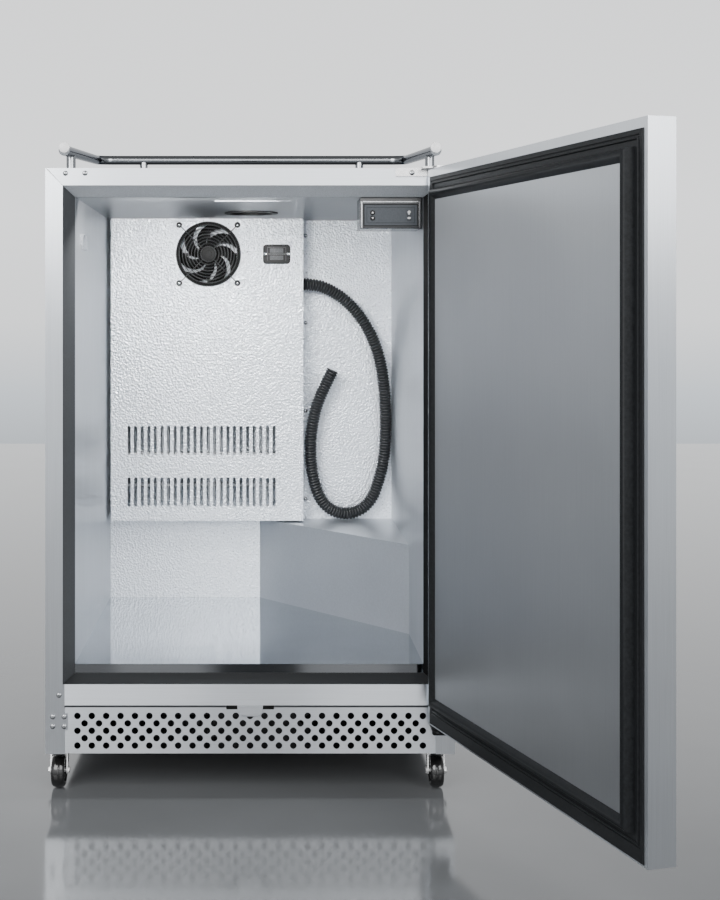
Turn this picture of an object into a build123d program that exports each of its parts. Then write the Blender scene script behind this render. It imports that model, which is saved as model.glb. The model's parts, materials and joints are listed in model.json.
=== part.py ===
"""Undercounter refrigerator on swivel casters, with a bore for a draft tower and its door open.

Frame: millimetres, +Z up, floor at Z = 0, +Y from the front of the cabinet to its back.
The origin is the middle of the footprint with the door open. Positions below are given in the
cabinet's own frame, where X = 0 is the middle of the cabinet and Y = 0 is the face of its front
flange, and the planes level(), facing() and beside() carry them into the part's frame.
"""

from build123d import *
import os
from math import atan2, cos, degrees, hypot, pi, radians, sin, tan

os.makedirs("parts", exist_ok=True)

# ---------------------------------------------------------------- driving dimensions

# Cabinet body
body_width = 600.0
body_depth = 590.0
body_top = 920.0
body_base = 62.0
sheet = 1.2
gap = 0.1
half_width = body_width / 2
inside = half_width - sheet - gap

# Cavity, to the visible faces of the liner
cavity_left = -260.0
cavity_right = 257.0
cavity_front = 31.0
cavity_back = 546.0
cavity_floor = 187.0
cavity_ceiling = 880.0

# Front frame
flange_width = 25.5
flange_inner = half_width - flange_width
flange_inner_low = 271.9
throat_depth = 29.6
throat_sill = 174.0
sill_rail_low = 133.3
sill_rail_high = 164.0
kick_top = 129.7

# Door, in its own frame: x from the hinge axis to the latch edge, y outwards
door_angle = 106.7
hinge_x = 275.7
hinge_y = -25.8
door_heel = 18.4
door_width = 588.4
door_thickness = 34.6
door_low = 110.0
door_high = 917.0
gasket_height = 14.0
seal_gap = 0.3

# Draft tower
tower_y = 329.0
tower_bore = 72.0
sleeve_outer = 76.0

# Casters
wheel_diameter = 50.0
wheel_width = 20.0
caster_left_x = -285.5
caster_right_x = 277.5
caster_front_y = 60.0
caster_back_y = 530.0
caster_trail = 15.0
caster_swivel = 0.0

# ---------------------------------------------------------------- reference frames

turn = radians(door_angle)
along_door = (-cos(turn), -sin(turn), 0)
out_of_door = (sin(turn), -cos(turn), 0)
door_reach = door_width - door_heel
door_inner = hinge_y + gasket_height + seal_gap
door_outer = door_inner + door_thickness

tip_x = hinge_x + along_door[0] * door_reach + out_of_door[0] * door_outer
tip_y = hinge_y + along_door[1] * door_reach + out_of_door[1] * door_inner
origin_x = (tip_x - half_width) / 2
origin_y = (tip_y + body_depth) / 2


def level(z):
    """Horizontal plane at height z: x across the cabinet, y towards its back, z up."""
    return Plane(origin=(-origin_x, -origin_y, z))


def facing(y):
    """Upright plane at depth y that looks out of the front: x across, y up."""
    return Plane(origin=(-origin_x, y - origin_y, 0), x_dir=(1, 0, 0), z_dir=(0, -1, 0))


def beside(x):
    """Upright plane across the cabinet at x: x towards the back, y up, z to the right."""
    return Plane(origin=(x - origin_x, -origin_y, 0), x_dir=(0, 1, 0), z_dir=(1, 0, 0))


def door_level(z):
    """Horizontal plane through the door at height z, about the hinge axis."""
    return Plane(origin=(hinge_x - origin_x, hinge_y - origin_y, z), x_dir=along_door)


def door_facing(y):
    """The door's own upright plane at offset y, looking into the cabinet."""
    base = (hinge_x - origin_x + out_of_door[0] * y, hinge_y - origin_y + out_of_door[1] * y, 0)
    return Plane(origin=base, x_dir=along_door, z_dir=(-out_of_door[0], -out_of_door[1], 0))


def span(x_low, x_high, y_low, y_high, mode=Mode.ADD):
    """Rectangle between two corners, for use inside a sketch."""
    with Locations(((x_low + x_high) / 2, (y_low + y_high) / 2)):
        Rectangle(x_high - x_low, y_high - y_low, mode=mode)


# ---------------------------------------------------------------- outer cabinet

mitre_gap = 0.3
kick_screw_x = 272.2
tongue_reach = 267.6
tongue_low = 97.0
tongue_high = 122.0

for name, hand in (("side_panel_left", -1), ("side_panel_right", 1)):
    edge = hand * half_width
    with BuildPart() as side_panel:
        with BuildSketch(beside(edge)):
            span(0, body_depth, body_base, body_top)
        extrude(amount=-hand * sheet)
        with BuildSketch(facing(0)):
            with BuildLine():
                Polyline(
                    (edge, body_base),
                    (edge, body_top),
                    (hand * flange_inner, body_top - flange_width),
                    (hand * flange_inner, sill_rail_high),
                    (hand * flange_inner_low, sill_rail_high),
                    (hand * flange_inner_low, body_base),
                    close=True,
                )
            make_face()
            span(*sorted((hand * kick_screw_x, hand * tongue_reach)), tongue_low, tongue_high)
        extrude(amount=-sheet)
        with BuildSketch(level(body_top)):
            span(edge - sheet * 1.5, edge + sheet * 1.5, -1, sheet + gap)
        extrude(amount=-mitre_gap, mode=Mode.SUBTRACT)
    side_panel.part.label = name
    export_step(side_panel.part, f"parts/{name}.step")

bolt_circle = 101.6
bolt_hole = 4.5

with BuildPart() as top_panel:
    with BuildSketch(level(body_top)):
        span(-inside, inside, 0, body_depth)
        with Locations((0, tower_y)):
            Circle(sleeve_outer / 2, mode=Mode.SUBTRACT)
            with PolarLocations(bolt_circle / 2, 4, start_angle=45):
                Circle(bolt_hole / 2, mode=Mode.SUBTRACT)
    extrude(amount=-sheet)
    with BuildSketch(facing(0)):
        with BuildLine():
            Polyline(
                (-inside + sheet, body_top),
                (inside - sheet, body_top),
                (flange_inner - mitre_gap, body_top - flange_width + mitre_gap),
                (-flange_inner + mitre_gap, body_top - flange_width + mitre_gap),
                close=True,
            )
        make_face()
    extrude(amount=-sheet)
    mitre_edge = inside - sheet
    with BuildSketch(facing(0)):
        for hand in (-1, 1):
            with BuildLine():
                Polyline(
                    (hand * mitre_edge, body_top),
                    (hand * (half_width + 1), body_top),
                    (hand * (half_width + 1), body_top - flange_width),
                    (hand * (flange_inner - mitre_gap), body_top - flange_width + mitre_gap),
                    close=True,
                )
            make_face()
    extrude(amount=-sheet - gap, mode=Mode.SUBTRACT)
top_panel.part.label = "top_panel"
export_step(top_panel.part, "parts/top_panel.step")

grille_slot = 60.0
grille_height = 105.0
inlet_x = -240.0
inlet_z = 100.0
inlet_radius = 9.0

with BuildPart() as rear_panel:
    with BuildSketch(facing(body_depth)):
        span(-inside, inside, body_base + 2 * sheet, body_top - sheet - gap)
        with Locations((40, grille_height)):
            with GridLocations(12, 0, 34, 1):
                SlotOverall(grille_slot, 5, rotation=90, mode=Mode.SUBTRACT)
        with Locations((inlet_x, inlet_z)):
            Circle(inlet_radius, mode=Mode.SUBTRACT)
    extrude(amount=sheet)
rear_panel.part.label = "rear_panel"
export_step(rear_panel.part, "parts/rear_panel.step")

pan_thickness = 2 * sheet

with BuildPart() as base_pan:
    with BuildSketch(level(body_base)):
        span(-inside, inside, cavity_front / 4, body_depth - sheet - gap)
    extrude(amount=pan_thickness - gap)
base_pan.part.label = "base_pan"
export_step(base_pan.part, "parts/base_pan.step")

# ---------------------------------------------------------------- front frame below the door opening

sill_rail_half = 271.7
sill_return = 18.0

with BuildPart() as sill_rail:
    with BuildSketch(facing(0)):
        span(-sill_rail_half, sill_rail_half, sill_rail_low, sill_rail_high)
    extrude(amount=-sheet)
    with BuildSketch(level(sill_rail_low)):
        span(-sill_rail_half, sill_rail_half, 0, sill_return)
    extrude(amount=sheet)
sill_rail.part.label = "sill_rail"
export_step(sill_rail.part, "parts/sill_rail.step")

kick_half = 273.6
kick_face = 2.2
kick_bottom = 62.4
kick_hole = 9.7
kick_pitch = 21.1
kick_row_pitch = 10.87
kick_rows_centre = 95.5
kick_long_row = 25
kick_fold = 14.0
tab_notch = 35.0
tab_notch_low = 126.7

with BuildPart() as kickplate:
    with BuildSketch(facing(kick_face)):
        span(-kick_half, kick_half, kick_bottom, kick_top)
        with Locations((0, kick_rows_centre)):
            with GridLocations(kick_pitch, 2 * kick_row_pitch, kick_long_row, 3):
                Circle(kick_hole / 2, mode=Mode.SUBTRACT)
            with GridLocations(kick_pitch, 2 * kick_row_pitch, kick_long_row - 1, 2):
                Circle(kick_hole / 2, mode=Mode.SUBTRACT)
    extrude(amount=-sheet)
    with BuildSketch(level(kick_top)):
        span(-kick_half, kick_half, kick_face, kick_face + kick_fold)
    extrude(amount=-sheet)
    with BuildSketch(facing(0)):
        span(-tab_notch, tab_notch, tab_notch_low, kick_top + sheet)
    extrude(amount=-kick_fold * 2, mode=Mode.SUBTRACT)
kickplate.part.label = "kickplate"
export_step(kickplate.part, "parts/kickplate.step")

tab_top = sill_rail_low
tab_low = 117.0
tab_half = 19.0
tab_shoulder = 6.5
tab_half_low = 13.0
tab_face = 0.3
tab_thickness = 1.5

with BuildPart() as lock_tab:
    with BuildSketch(facing(tab_face)) as tab_outline:
        with BuildLine():
            Polyline(
                (-tab_half, tab_top),
                (tab_half, tab_top),
                (tab_half - 1, tab_low + tab_shoulder),
                (tab_half_low, tab_low),
                (-tab_half_low, tab_low),
                (-tab_half + 1, tab_low + tab_shoulder),
                close=True,
            )
        make_face()
        fillet(tab_outline.vertices().group_by(Axis.Z)[0], 3)
    extrude(amount=-tab_thickness)
    with BuildSketch(level(tab_top)):
        span(-tab_half, tab_half, tab_face, sill_return - 2)
    extrude(amount=-tab_thickness)
lock_tab.part.label = "lock_tab"
export_step(lock_tab.part, "parts/lock_tab.step")

# ---------------------------------------------------------------- throat, foam and liner

strip = 2.0
throat_start = sheet + gap
mitre_cut = 0.3
throat_out = (-flange_inner, flange_inner, sill_rail_high, body_top - flange_width)
throat_in = (cavity_left, cavity_right, throat_sill, cavity_ceiling)
throat_corners = [
    (throat_out[i], throat_out[j], throat_in[i], throat_in[j]) for i in (0, 1) for j in (2, 3)
]

with BuildPart() as breaker_strips:
    with BuildSketch(facing(throat_start)):
        span(
            throat_out[0] - strip, throat_out[1] + strip, throat_out[2] - strip, throat_out[3] + strip
        )
    with BuildSketch(facing(throat_depth)):
        span(throat_in[0] - strip, throat_in[1] + strip, throat_in[2] - strip, throat_in[3] + strip)
    loft()
    with BuildSketch(facing(throat_start)):
        span(*throat_out)
    with BuildSketch(facing(throat_depth)):
        span(*throat_in)
    loft(mode=Mode.SUBTRACT)
    with BuildSketch(facing(0)):
        for x_out, z_out, x_in, z_in in throat_corners:
            with Locations(((x_out + x_in) / 2, (z_out + z_in) / 2)):
                mitre = degrees(atan2(z_out - z_in, x_out - x_in))
                Rectangle(2 * hypot(x_out - x_in, z_out - z_in), mitre_cut, rotation=mitre)
    extrude(amount=-cavity_front, mode=Mode.SUBTRACT)
breaker_strips.part.label = "breaker_strips"
export_step(breaker_strips.part, "parts/breaker_strips.step")

# The step over the compressor is a wedge: from a point on the back wall to one on the right wall.
hump_left = 14.5
hump_front = 234.0
hump_top = 332.0
hump_foam = 24.0
hump_slope = (cavity_back - hump_front) / (cavity_right - hump_left)
hump_run = hypot(1, hump_slope)


def hump_corners(inset, right, back):
    """Plan of the wedge with its slanted face moved inwards by inset."""
    slant_at_back = hump_left + (cavity_back - back + inset * hump_run) / hump_slope
    slant_at_right = back - (right - slant_at_back) * hump_slope
    return (slant_at_back, back), (right, slant_at_right), (right, back)


machine_top = 150.0
liner_clear = sheet + gap
hump_skin = sheet + gap

with BuildPart() as cabinet_foam:
    with BuildSketch(level(machine_top)):
        span(-inside, inside, throat_start, body_depth - sheet - gap)
    extrude(amount=body_top - sheet - gap - machine_top)
    with BuildSketch(facing(throat_start)):
        span(
            throat_out[0] - strip, throat_out[1] + strip, throat_out[2] - strip, throat_out[3] + strip
        )
    with BuildSketch(facing(throat_depth)):
        span(throat_in[0] - strip, throat_in[1] + strip, throat_in[2] - strip, throat_in[3] + strip)
    loft(mode=Mode.SUBTRACT)
    with BuildSketch(facing(throat_depth)):
        span(throat_in[0] - strip, throat_in[1] + strip, throat_in[2] - strip, throat_in[3] + strip)
    extrude(amount=-(cavity_front + gap - throat_depth), mode=Mode.SUBTRACT)
    with BuildSketch(facing(cavity_front)):
        span(
            cavity_left - liner_clear,
            cavity_right + liner_clear,
            cavity_floor - liner_clear,
            cavity_ceiling + liner_clear,
        )
    extrude(amount=-(cavity_back + liner_clear - cavity_front), mode=Mode.SUBTRACT)
    with BuildSketch(level(cavity_floor - liner_clear - gap)):
        with BuildLine():
            Polyline(*hump_corners(hump_skin, cavity_right - gap, cavity_back - gap), close=True)
        make_face()
    extrude(amount=hump_top - hump_skin - cavity_floor + liner_clear + gap)
    with BuildSketch(level(machine_top - 1)):
        with BuildLine():
            Polyline(*hump_corners(hump_foam, half_width, body_depth), close=True)
        make_face()
    extrude(amount=hump_top - hump_foam - machine_top + 1, mode=Mode.SUBTRACT)
    with BuildSketch(level(body_top)):
        with Locations((0, tower_y)):
            Circle(sleeve_outer / 2)
    extrude(amount=-(body_top - cavity_ceiling + sheet), mode=Mode.SUBTRACT)
    with BuildSketch(level(body_top)):
        with Locations((0, tower_y)):
            with PolarLocations(bolt_circle / 2, 4, start_angle=45):
                Circle(bolt_hole / 2)
    extrude(amount=-(body_top - cavity_ceiling) / 2, mode=Mode.SUBTRACT)
cabinet_foam.part.label = "cabinet_foam"
export_step(cabinet_foam.part, "parts/cabinet_foam.step")

access_left = 60.0
access_front = 300.0
access_top = 300.0

with BuildPart() as liner_wrap:
    with BuildSketch(level(cavity_floor)):
        span(cavity_left - sheet, cavity_right + sheet, cavity_front, cavity_back + sheet)
        span(cavity_left, cavity_right, cavity_front - 1, cavity_back, mode=Mode.SUBTRACT)
    extrude(amount=cavity_ceiling - cavity_floor)
    with BuildSketch(level(cavity_floor)):
        span(access_left, cavity_right + 2 * sheet, access_front, cavity_back + 2 * sheet)
    extrude(amount=access_top - cavity_floor, mode=Mode.SUBTRACT)
liner_wrap.part.label = "liner_wrap"
export_step(liner_wrap.part, "parts/liner_wrap.step")

with BuildPart() as liner_ceiling:
    with BuildSketch(level(cavity_ceiling)):
        span(cavity_left - sheet, cavity_right + sheet, cavity_front, cavity_back + sheet)
        with Locations((0, tower_y)):
            Circle(sleeve_outer / 2, mode=Mode.SUBTRACT)
    extrude(amount=sheet)
liner_ceiling.part.label = "liner_ceiling"
export_step(liner_ceiling.part, "parts/liner_ceiling.step")

with BuildPart() as floor_tray:
    with BuildSketch(level(cavity_floor)):
        span(cavity_left, cavity_right, cavity_front - sheet, cavity_back)
        with BuildLine():
            Polyline(*hump_corners(0, cavity_right + 1, cavity_back + 1), close=True)
        make_face(mode=Mode.SUBTRACT)
    extrude(amount=-sheet)
    with BuildSketch(facing(cavity_front)):
        span(cavity_left, cavity_right, throat_sill, cavity_floor)
    extrude(amount=sheet)
floor_tray.part.label = "floor_tray"
export_step(floor_tray.part, "parts/floor_tray.step")

with BuildPart() as hump_cover:
    with BuildSketch(level(cavity_floor)):
        with BuildLine():
            Polyline(*hump_corners(0, cavity_right, cavity_back), close=True)
        make_face()
    extrude(amount=hump_top - cavity_floor)
    with BuildSketch(level(cavity_floor)):
        with BuildLine():
            Polyline(*hump_corners(sheet, cavity_right + 1, cavity_back + 1), close=True)
        make_face()
    extrude(amount=hump_top - sheet - cavity_floor, mode=Mode.SUBTRACT)
hump_cover.part.label = "hump_cover"
export_step(hump_cover.part, "parts/hump_cover.step")

# ---------------------------------------------------------------- evaporator housing and fan

cover_left = -253.6
cover_right = 93.0
cover_low = 335.0
cover_face = 493.0
cover_flange = 14.0
cover_flange_low = 337.0
fan_x = -78.0
fan_z = 816.0
fan_opening = 108.0
slot_first = -221.0
slot_pitch = 11.88
slot_count = 23
slot_width = 6.0
slot_length = 52.5
slot_rows = (480.0, 386.8)
hose_z = 762.0
hose_y = 521.0
hose_diameter = 23.0
gland_radius = 14.0
bezel_x = 45.0
bezel_z = 815.6
bezel_width = 49.0
bezel_height = 35.0
window_width = 24.0
window_height = 8.0
window_offset = 6.5
cover_top = cavity_ceiling - gap
cover_back = cavity_back - gap

with BuildPart() as evaporator_cover:
    with BuildSketch(facing(cover_face)):
        span(cover_left, cover_right, cover_low, cover_top)
    extrude(amount=-(cover_back - cover_face))
    with BuildSketch(facing(cover_face + sheet)):
        span(cover_left + sheet, cover_right - sheet, cover_low + sheet, cover_top - sheet)
    extrude(amount=-cavity_back, mode=Mode.SUBTRACT)
    with BuildSketch(facing(cover_back)):
        span(cover_right - sheet, cover_right + cover_flange, cover_flange_low, cover_top)
        span(cavity_left + gap, cover_left + sheet, cover_flange_low, cover_top)
    extrude(amount=sheet)
    with BuildSketch(facing(cover_face)):
        with Locations((fan_x, fan_z)):
            Circle(fan_opening / 2)
        for row in slot_rows:
            for i in range(slot_count):
                with Locations((slot_first + i * slot_pitch, row)):
                    SlotOverall(slot_length, slot_width, rotation=90)
        for side in (-1, 1):
            with Locations((bezel_x, bezel_z + side * window_offset)):
                Rectangle(window_width, window_height)
    extrude(amount=-sheet, mode=Mode.SUBTRACT)
    with BuildSketch(beside(cover_right)):
        with Locations((hose_y, hose_z)):
            Circle(gland_radius)
    extrude(amount=-sheet, mode=Mode.SUBTRACT)
evaporator_cover.part.label = "evaporator_cover"
export_step(evaporator_cover.part, "parts/evaporator_cover.step")

guard_rings = 8
guard_outer = 58.5
guard_pitch = 6.7
guard_wire = 1.8
fan_screw_offset = 52.4
eyelet_radius = 5.0

with BuildPart() as fan_guard:
    with BuildSketch(facing(cover_face)):
        with Locations((fan_x, fan_z)):
            for angle in (45, 135):
                Rectangle(2 * hypot(fan_screw_offset, fan_screw_offset), guard_wire, rotation=angle)
    extrude(amount=guard_wire)
    with BuildSketch(facing(cover_face)):
        with Locations((fan_x, fan_z)):
            with GridLocations(2 * fan_screw_offset, 2 * fan_screw_offset, 2, 2):
                Circle(eyelet_radius)
    extrude(amount=2 * guard_wire)
    with BuildSketch(facing(cover_face - guard_wire)):
        with Locations((fan_x, fan_z)):
            for ring in range(guard_rings):
                Circle(guard_outer - ring * guard_pitch)
                Circle(guard_outer - ring * guard_pitch - guard_wire, mode=Mode.SUBTRACT)
    extrude(amount=guard_wire)
fan_guard.part.label = "fan_guard"
export_step(fan_guard.part, "parts/fan_guard.step")

fan_frame = 119.0
fan_bore = 112.0
fan_depth = 25.0
fan_front = cover_face + sheet + gap
motor_radius = 20.0
motor_depth = 8.0
strut_width = 6.0
strut_depth = 4.0

with BuildPart() as fan_housing:
    with BuildSketch(facing(fan_front)):
        with Locations((fan_x, fan_z)):
            RectangleRounded(fan_frame, fan_frame, eyelet_radius)
            Circle(fan_bore / 2, mode=Mode.SUBTRACT)
    extrude(amount=-fan_depth)
    with BuildSketch(facing(fan_front + fan_depth)):
        with Locations((fan_x, fan_z)):
            Rectangle(fan_frame - 2, strut_width)
            Rectangle(strut_width, fan_frame - 2)
    extrude(amount=strut_depth)
    with BuildSketch(facing(fan_front + fan_depth)):
        with Locations((fan_x, fan_z)):
            Circle(motor_radius)
    extrude(amount=motor_depth)
fan_housing.part.label = "fan_housing"
export_step(fan_housing.part, "parts/fan_housing.step")

impeller_tip = 53.5
impeller_hub = 17.5
impeller_depth = 12.0
impeller_front = fan_front + 1.5
impeller_blades = 7
blade_chord = 19.0
blade_thickness = 1.6
blade_pitch = 33.0

with BuildPart(facing(impeller_front + impeller_depth / 2)) as fan_impeller:
    with Locations((fan_x, fan_z)):
        Cylinder(impeller_hub, impeller_depth)
        with PolarLocations((impeller_tip + impeller_hub) / 2 - 1, impeller_blades):
            Box(
                impeller_tip - impeller_hub + 1,
                blade_chord,
                blade_thickness,
                rotation=(blade_pitch, 0, 0),
            )
fan_impeller.part.label = "fan_impeller"
export_step(fan_impeller.part, "parts/fan_impeller.step")

fin_count = 28
fin_pitch = 10.5
fin_thickness = 0.8
coil_left = -225.0
coil_low = 370.0
coil_high = 700.0
coil_front = 503.0
coil_back = 537.0
coil_tube = 4.5
coil_rows = 6

with BuildPart() as evaporator_coil:
    for i in range(fin_count):
        with BuildSketch(beside(coil_left + i * fin_pitch)):
            span(coil_front, coil_back, coil_low, coil_high)
        extrude(amount=fin_thickness)
    with BuildSketch(beside(coil_left - fin_pitch)):
        with Locations(((coil_front + coil_back) / 2, (coil_low + coil_high) / 2)):
            with GridLocations(0, (coil_high - coil_low) / coil_rows, 1, coil_rows):
                Circle(coil_tube)
    extrude(amount=(fin_count + 1) * fin_pitch)
evaporator_coil.part.label = "evaporator_coil"
export_step(evaporator_coil.part, "parts/evaporator_coil.step")

with BuildPart() as sensor_bezel:
    with BuildSketch(facing(cover_face)):
        with Locations((bezel_x, bezel_z)):
            RectangleRounded(bezel_width, bezel_height, 6)
            with GridLocations(0, 2 * window_offset, 1, 2):
                Rectangle(window_width, window_height, mode=Mode.SUBTRACT)
    extrude(amount=3.5)
    chamfer(sensor_bezel.faces().sort_by(Axis.Y)[0].outer_wire().edges(), 1.2)
sensor_bezel.part.label = "sensor_bezel"
export_step(sensor_bezel.part, "parts/sensor_bezel.step")

# ---------------------------------------------------------------- control box and its buttons

control_left = 164.0
control_right = 254.4
control_low = 833.6
control_face_y = 38.0
control_depth = 70.0
pocket_margin = 6.0
pocket_depth = 8.0
button_left_x = 182.3
button_right_x = 236.4
button_top_z = 857.5
button_low_z = 849.3
button_radius = 3.4
button_clear = 0.3
button_proud = 1.6
button_length = 7.0
button_places = {
    "up_button": (button_left_x, button_top_z),
    "down_button": (button_left_x, button_low_z),
    "light_button": (button_right_x, button_top_z),
    "power_button": (button_right_x, button_low_z),
}

with BuildPart() as control_box:
    with BuildSketch(facing(control_face_y)):
        span(control_left, control_right, control_low, cavity_ceiling - gap)
    extrude(amount=-control_depth)
    with BuildSketch(facing(control_face_y)):
        span(
            control_left + pocket_margin,
            control_right - pocket_margin,
            control_low + pocket_margin,
            cavity_ceiling - 2 * pocket_margin,
        )
    extrude(amount=-pocket_depth, mode=Mode.SUBTRACT)
    fillet(control_box.edges().filter_by(Axis.X).group_by(Axis.Z)[0], 2)
control_box.part.label = "control_box"
export_step(control_box.part, "parts/control_box.step")

with BuildPart() as control_panel:
    with BuildSketch(facing(control_face_y)):
        span(control_left + 4, control_right - 4, control_low + 3, cavity_ceiling - 9)
        for x, z in button_places.values():
            with Locations((x, z)):
                Circle(button_radius + button_clear, mode=Mode.SUBTRACT)
    extrude(amount=sheet)
control_panel.part.label = "control_panel"
export_step(control_panel.part, "parts/control_panel.step")

for name, (x, z) in button_places.items():
    with BuildPart() as button:
        with BuildSketch(facing(control_face_y - sheet - button_proud)):
            with Locations((x, z)):
                Circle(button_radius)
        extrude(amount=-button_length)
        fillet(button.edges().sort_by(Axis.Y)[0], 0.8)
    button.part.label = name
    export_step(button.part, f"parts/{name}.step")

# ---------------------------------------------------------------- ceiling fittings, tower sleeve, wall clip

plate_left = -54.2
plate_right = 61.4
plate_front = 95.0
plate_back = 400.0
sleeve_flange = 90.0
sleeve_lip = 2.2

with BuildPart() as ceiling_plate:
    with BuildSketch(level(cavity_ceiling)):
        span(plate_left, plate_right, plate_front, plate_back)
        with Locations((0, tower_y)):
            Circle(sleeve_outer / 2, mode=Mode.SUBTRACT)
    extrude(amount=-sheet)
ceiling_plate.part.label = "ceiling_plate"
export_step(ceiling_plate.part, "parts/ceiling_plate.step")

with BuildPart() as tower_sleeve:
    with BuildSketch(level(body_top)):
        with Locations((0, tower_y)):
            Circle(sleeve_outer / 2)
            Circle(tower_bore / 2, mode=Mode.SUBTRACT)
    extrude(amount=-(body_top - cavity_ceiling + sheet))
    with BuildSketch(level(cavity_ceiling - sheet)):
        with Locations((0, tower_y)):
            Circle(sleeve_flange / 2)
            Circle(tower_bore / 2, mode=Mode.SUBTRACT)
    extrude(amount=-sleeve_lip)
tower_sleeve.part.label = "tower_sleeve"
export_step(tower_sleeve.part, "parts/tower_sleeve.step")

clip_front = 90.0
clip_back = 145.0
clip_low = 806.0
clip_high = 829.0
clip_proud = 4.5
clip_notch = 5.0

with BuildPart() as wall_clip:
    with BuildSketch(beside(cavity_left)):
        span(clip_front, clip_back, clip_low, clip_high)
        span(clip_front - 1, clip_front + 8, clip_high - clip_notch, clip_high + 1, Mode.SUBTRACT)
        span(clip_front - 1, clip_front + 8, clip_low - 1, clip_low + clip_notch, Mode.SUBTRACT)
    extrude(amount=clip_proud)
wall_clip.part.label = "wall_clip"
export_step(wall_clip.part, "parts/wall_clip.step")

# ---------------------------------------------------------------- drain hose

hose_route = [
    (94.0, 521.0, 762.0),
    (117.0, 521.0, 762.0),
    (145.0, 521.5, 751.0),
    (171.0, 522.0, 733.0),
    (194.0, 523.0, 709.0),
    (212.5, 524.0, 681.0),
    (226.5, 525.0, 650.0),
    (235.5, 525.5, 617.0),
    (241.0, 526.0, 582.0),
    (243.5, 526.0, 546.0),
    (244.5, 526.0, 510.0),
    (243.5, 526.0, 474.0),
    (240.5, 526.0, 439.0),
    (232.0, 525.5, 405.0),
    (220.5, 525.0, 372.0),
    (200.0, 524.5, 350.5),
    (171.5, 524.0, 342.8),
    (143.0, 523.0, 350.5),
    (123.5, 522.0, 372.0),
    (113.0, 521.0, 405.0),
    (107.5, 520.0, 439.0),
    (107.0, 519.0, 473.0),
    (110.5, 518.0, 508.0),
    (118.0, 517.0, 542.0),
    (132.0, 516.0, 575.0),
    (147.5, 515.0, 606.0),
]
bend_share = 0.45
gland_depth = 6.0


def tangent_radii(points):
    """Largest radius at each corner that leaves both of its runs a tenth of straight."""
    corners = [Vector(*point) for point in points]
    radii = []
    for before, corner, after in zip(corners, corners[1:], corners[2:]):
        bend = (corner - before).get_angle(after - corner)
        shorter = min((corner - before).length, (after - corner).length)
        radii.append(bend_share * shorter / tan(radians(bend) / 2))
    return radii


hose_radii = tangent_radii(hose_route)
hose_points = [(x - origin_x, y - origin_y, z) for x, y, z in hose_route]

with BuildPart() as drain_hose:
    with BuildLine() as hose_line:
        FilletPolyline(*hose_points, radius=hose_radii)
    hose_start = Plane(origin=hose_line.line @ 0, z_dir=hose_line.line % 0)
    with BuildSketch(hose_start):
        Circle(hose_diameter / 2)
    sweep(path=hose_line.line, transition=Transition.ROUND)
drain_hose.part.label = "drain_hose"
export_step(drain_hose.part, "parts/drain_hose.step")

hose_section = pi * hose_diameter**2 / 4
hose_length = sum(edge.length for edge in hose_line.edges())
print("hose length", round(hose_length, 1), "radii", [round(radius) for radius in hose_radii])
print("hose volume share", round(drain_hose.part.volume / hose_section / hose_length, 4))

with BuildPart() as hose_gland:
    with BuildSketch(beside(cover_right)):
        with Locations((hose_y, hose_z)):
            Circle(gland_radius)
    extrude(amount=-gland_depth)
    with BuildSketch(beside(cover_right)):
        with Locations((hose_y, hose_z)):
            Circle(gland_radius + 2)
    extrude(amount=0.7)
hose_gland.part.label = "hose_gland"
export_step(hose_gland.part, "parts/hose_gland.step")

# ---------------------------------------------------------------- screws

screw_radius = 3.9
slim_screw_radius = 2.8
screw_height = 2.0
screw_taper = 30
recess_wide = 1.1
cover_screw_z = (852.0, 692.0, 530.0, 368.0)
cover_screw_right = 98.8
cover_screw_left = -256.8
cover_strip = cover_back - sheet
bracket = 3.0
screw_places = [(cover_screw_right, cover_strip, z, screw_radius) for z in cover_screw_z]
screw_places += [
    (cover_screw_left, cover_strip, 852.0, slim_screw_radius),
    (cover_screw_left, cover_strip, 692.0, slim_screw_radius),
    (cover_screw_left, cover_strip, 363.0, slim_screw_radius),
    (-270.3, 0, 912.4, screw_radius),
    (-241.7, 0, 912.6, screw_radius),
    (236.7, -bracket, 912.8, screw_radius),
    (-279.8, 0, 148.1, screw_radius),
    (-289.0, 0, 116.6, screw_radius),
    (-289.0, 0, 102.4, screw_radius),
    (-kick_screw_x, 0, 116.6, screw_radius),
    (-kick_screw_x, 0, 102.4, screw_radius),
    (274.5, -bracket, 96.5, screw_radius),
]

with BuildPart() as cabinet_screws:
    for x, y, z, head in screw_places:
        with BuildSketch(facing(y)):
            with Locations((x, z)):
                Circle(head)
        extrude(amount=screw_height, taper=screw_taper)
    for x, y, z, head in screw_places:
        with BuildSketch(facing(y - screw_height)):
            with Locations((x, z)):
                Rectangle(head, recess_wide)
                Rectangle(recess_wide, head)
        extrude(amount=-screw_height / 2, mode=Mode.SUBTRACT)
cabinet_screws.part.label = "cabinet_screws"
export_step(cabinet_screws.part, "parts/cabinet_screws.step")

# ---------------------------------------------------------------- hinges

pin_radius = 4.0
hinge_plate = 2.5
hinge_top_left = 212.6
hinge_top_right = 262.0
hinge_top_low = 907.8
hinge_low_left = 266.5
hinge_low_right = 292.0
hinge_low_z = 90.0
hinge_shelf_low = 104.0
hinge_shelf = 3.5
hinge_arm_half = 13.0
bush_radius = 7.0
bush_length = 20.0
bush_clearance = 0.05

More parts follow.
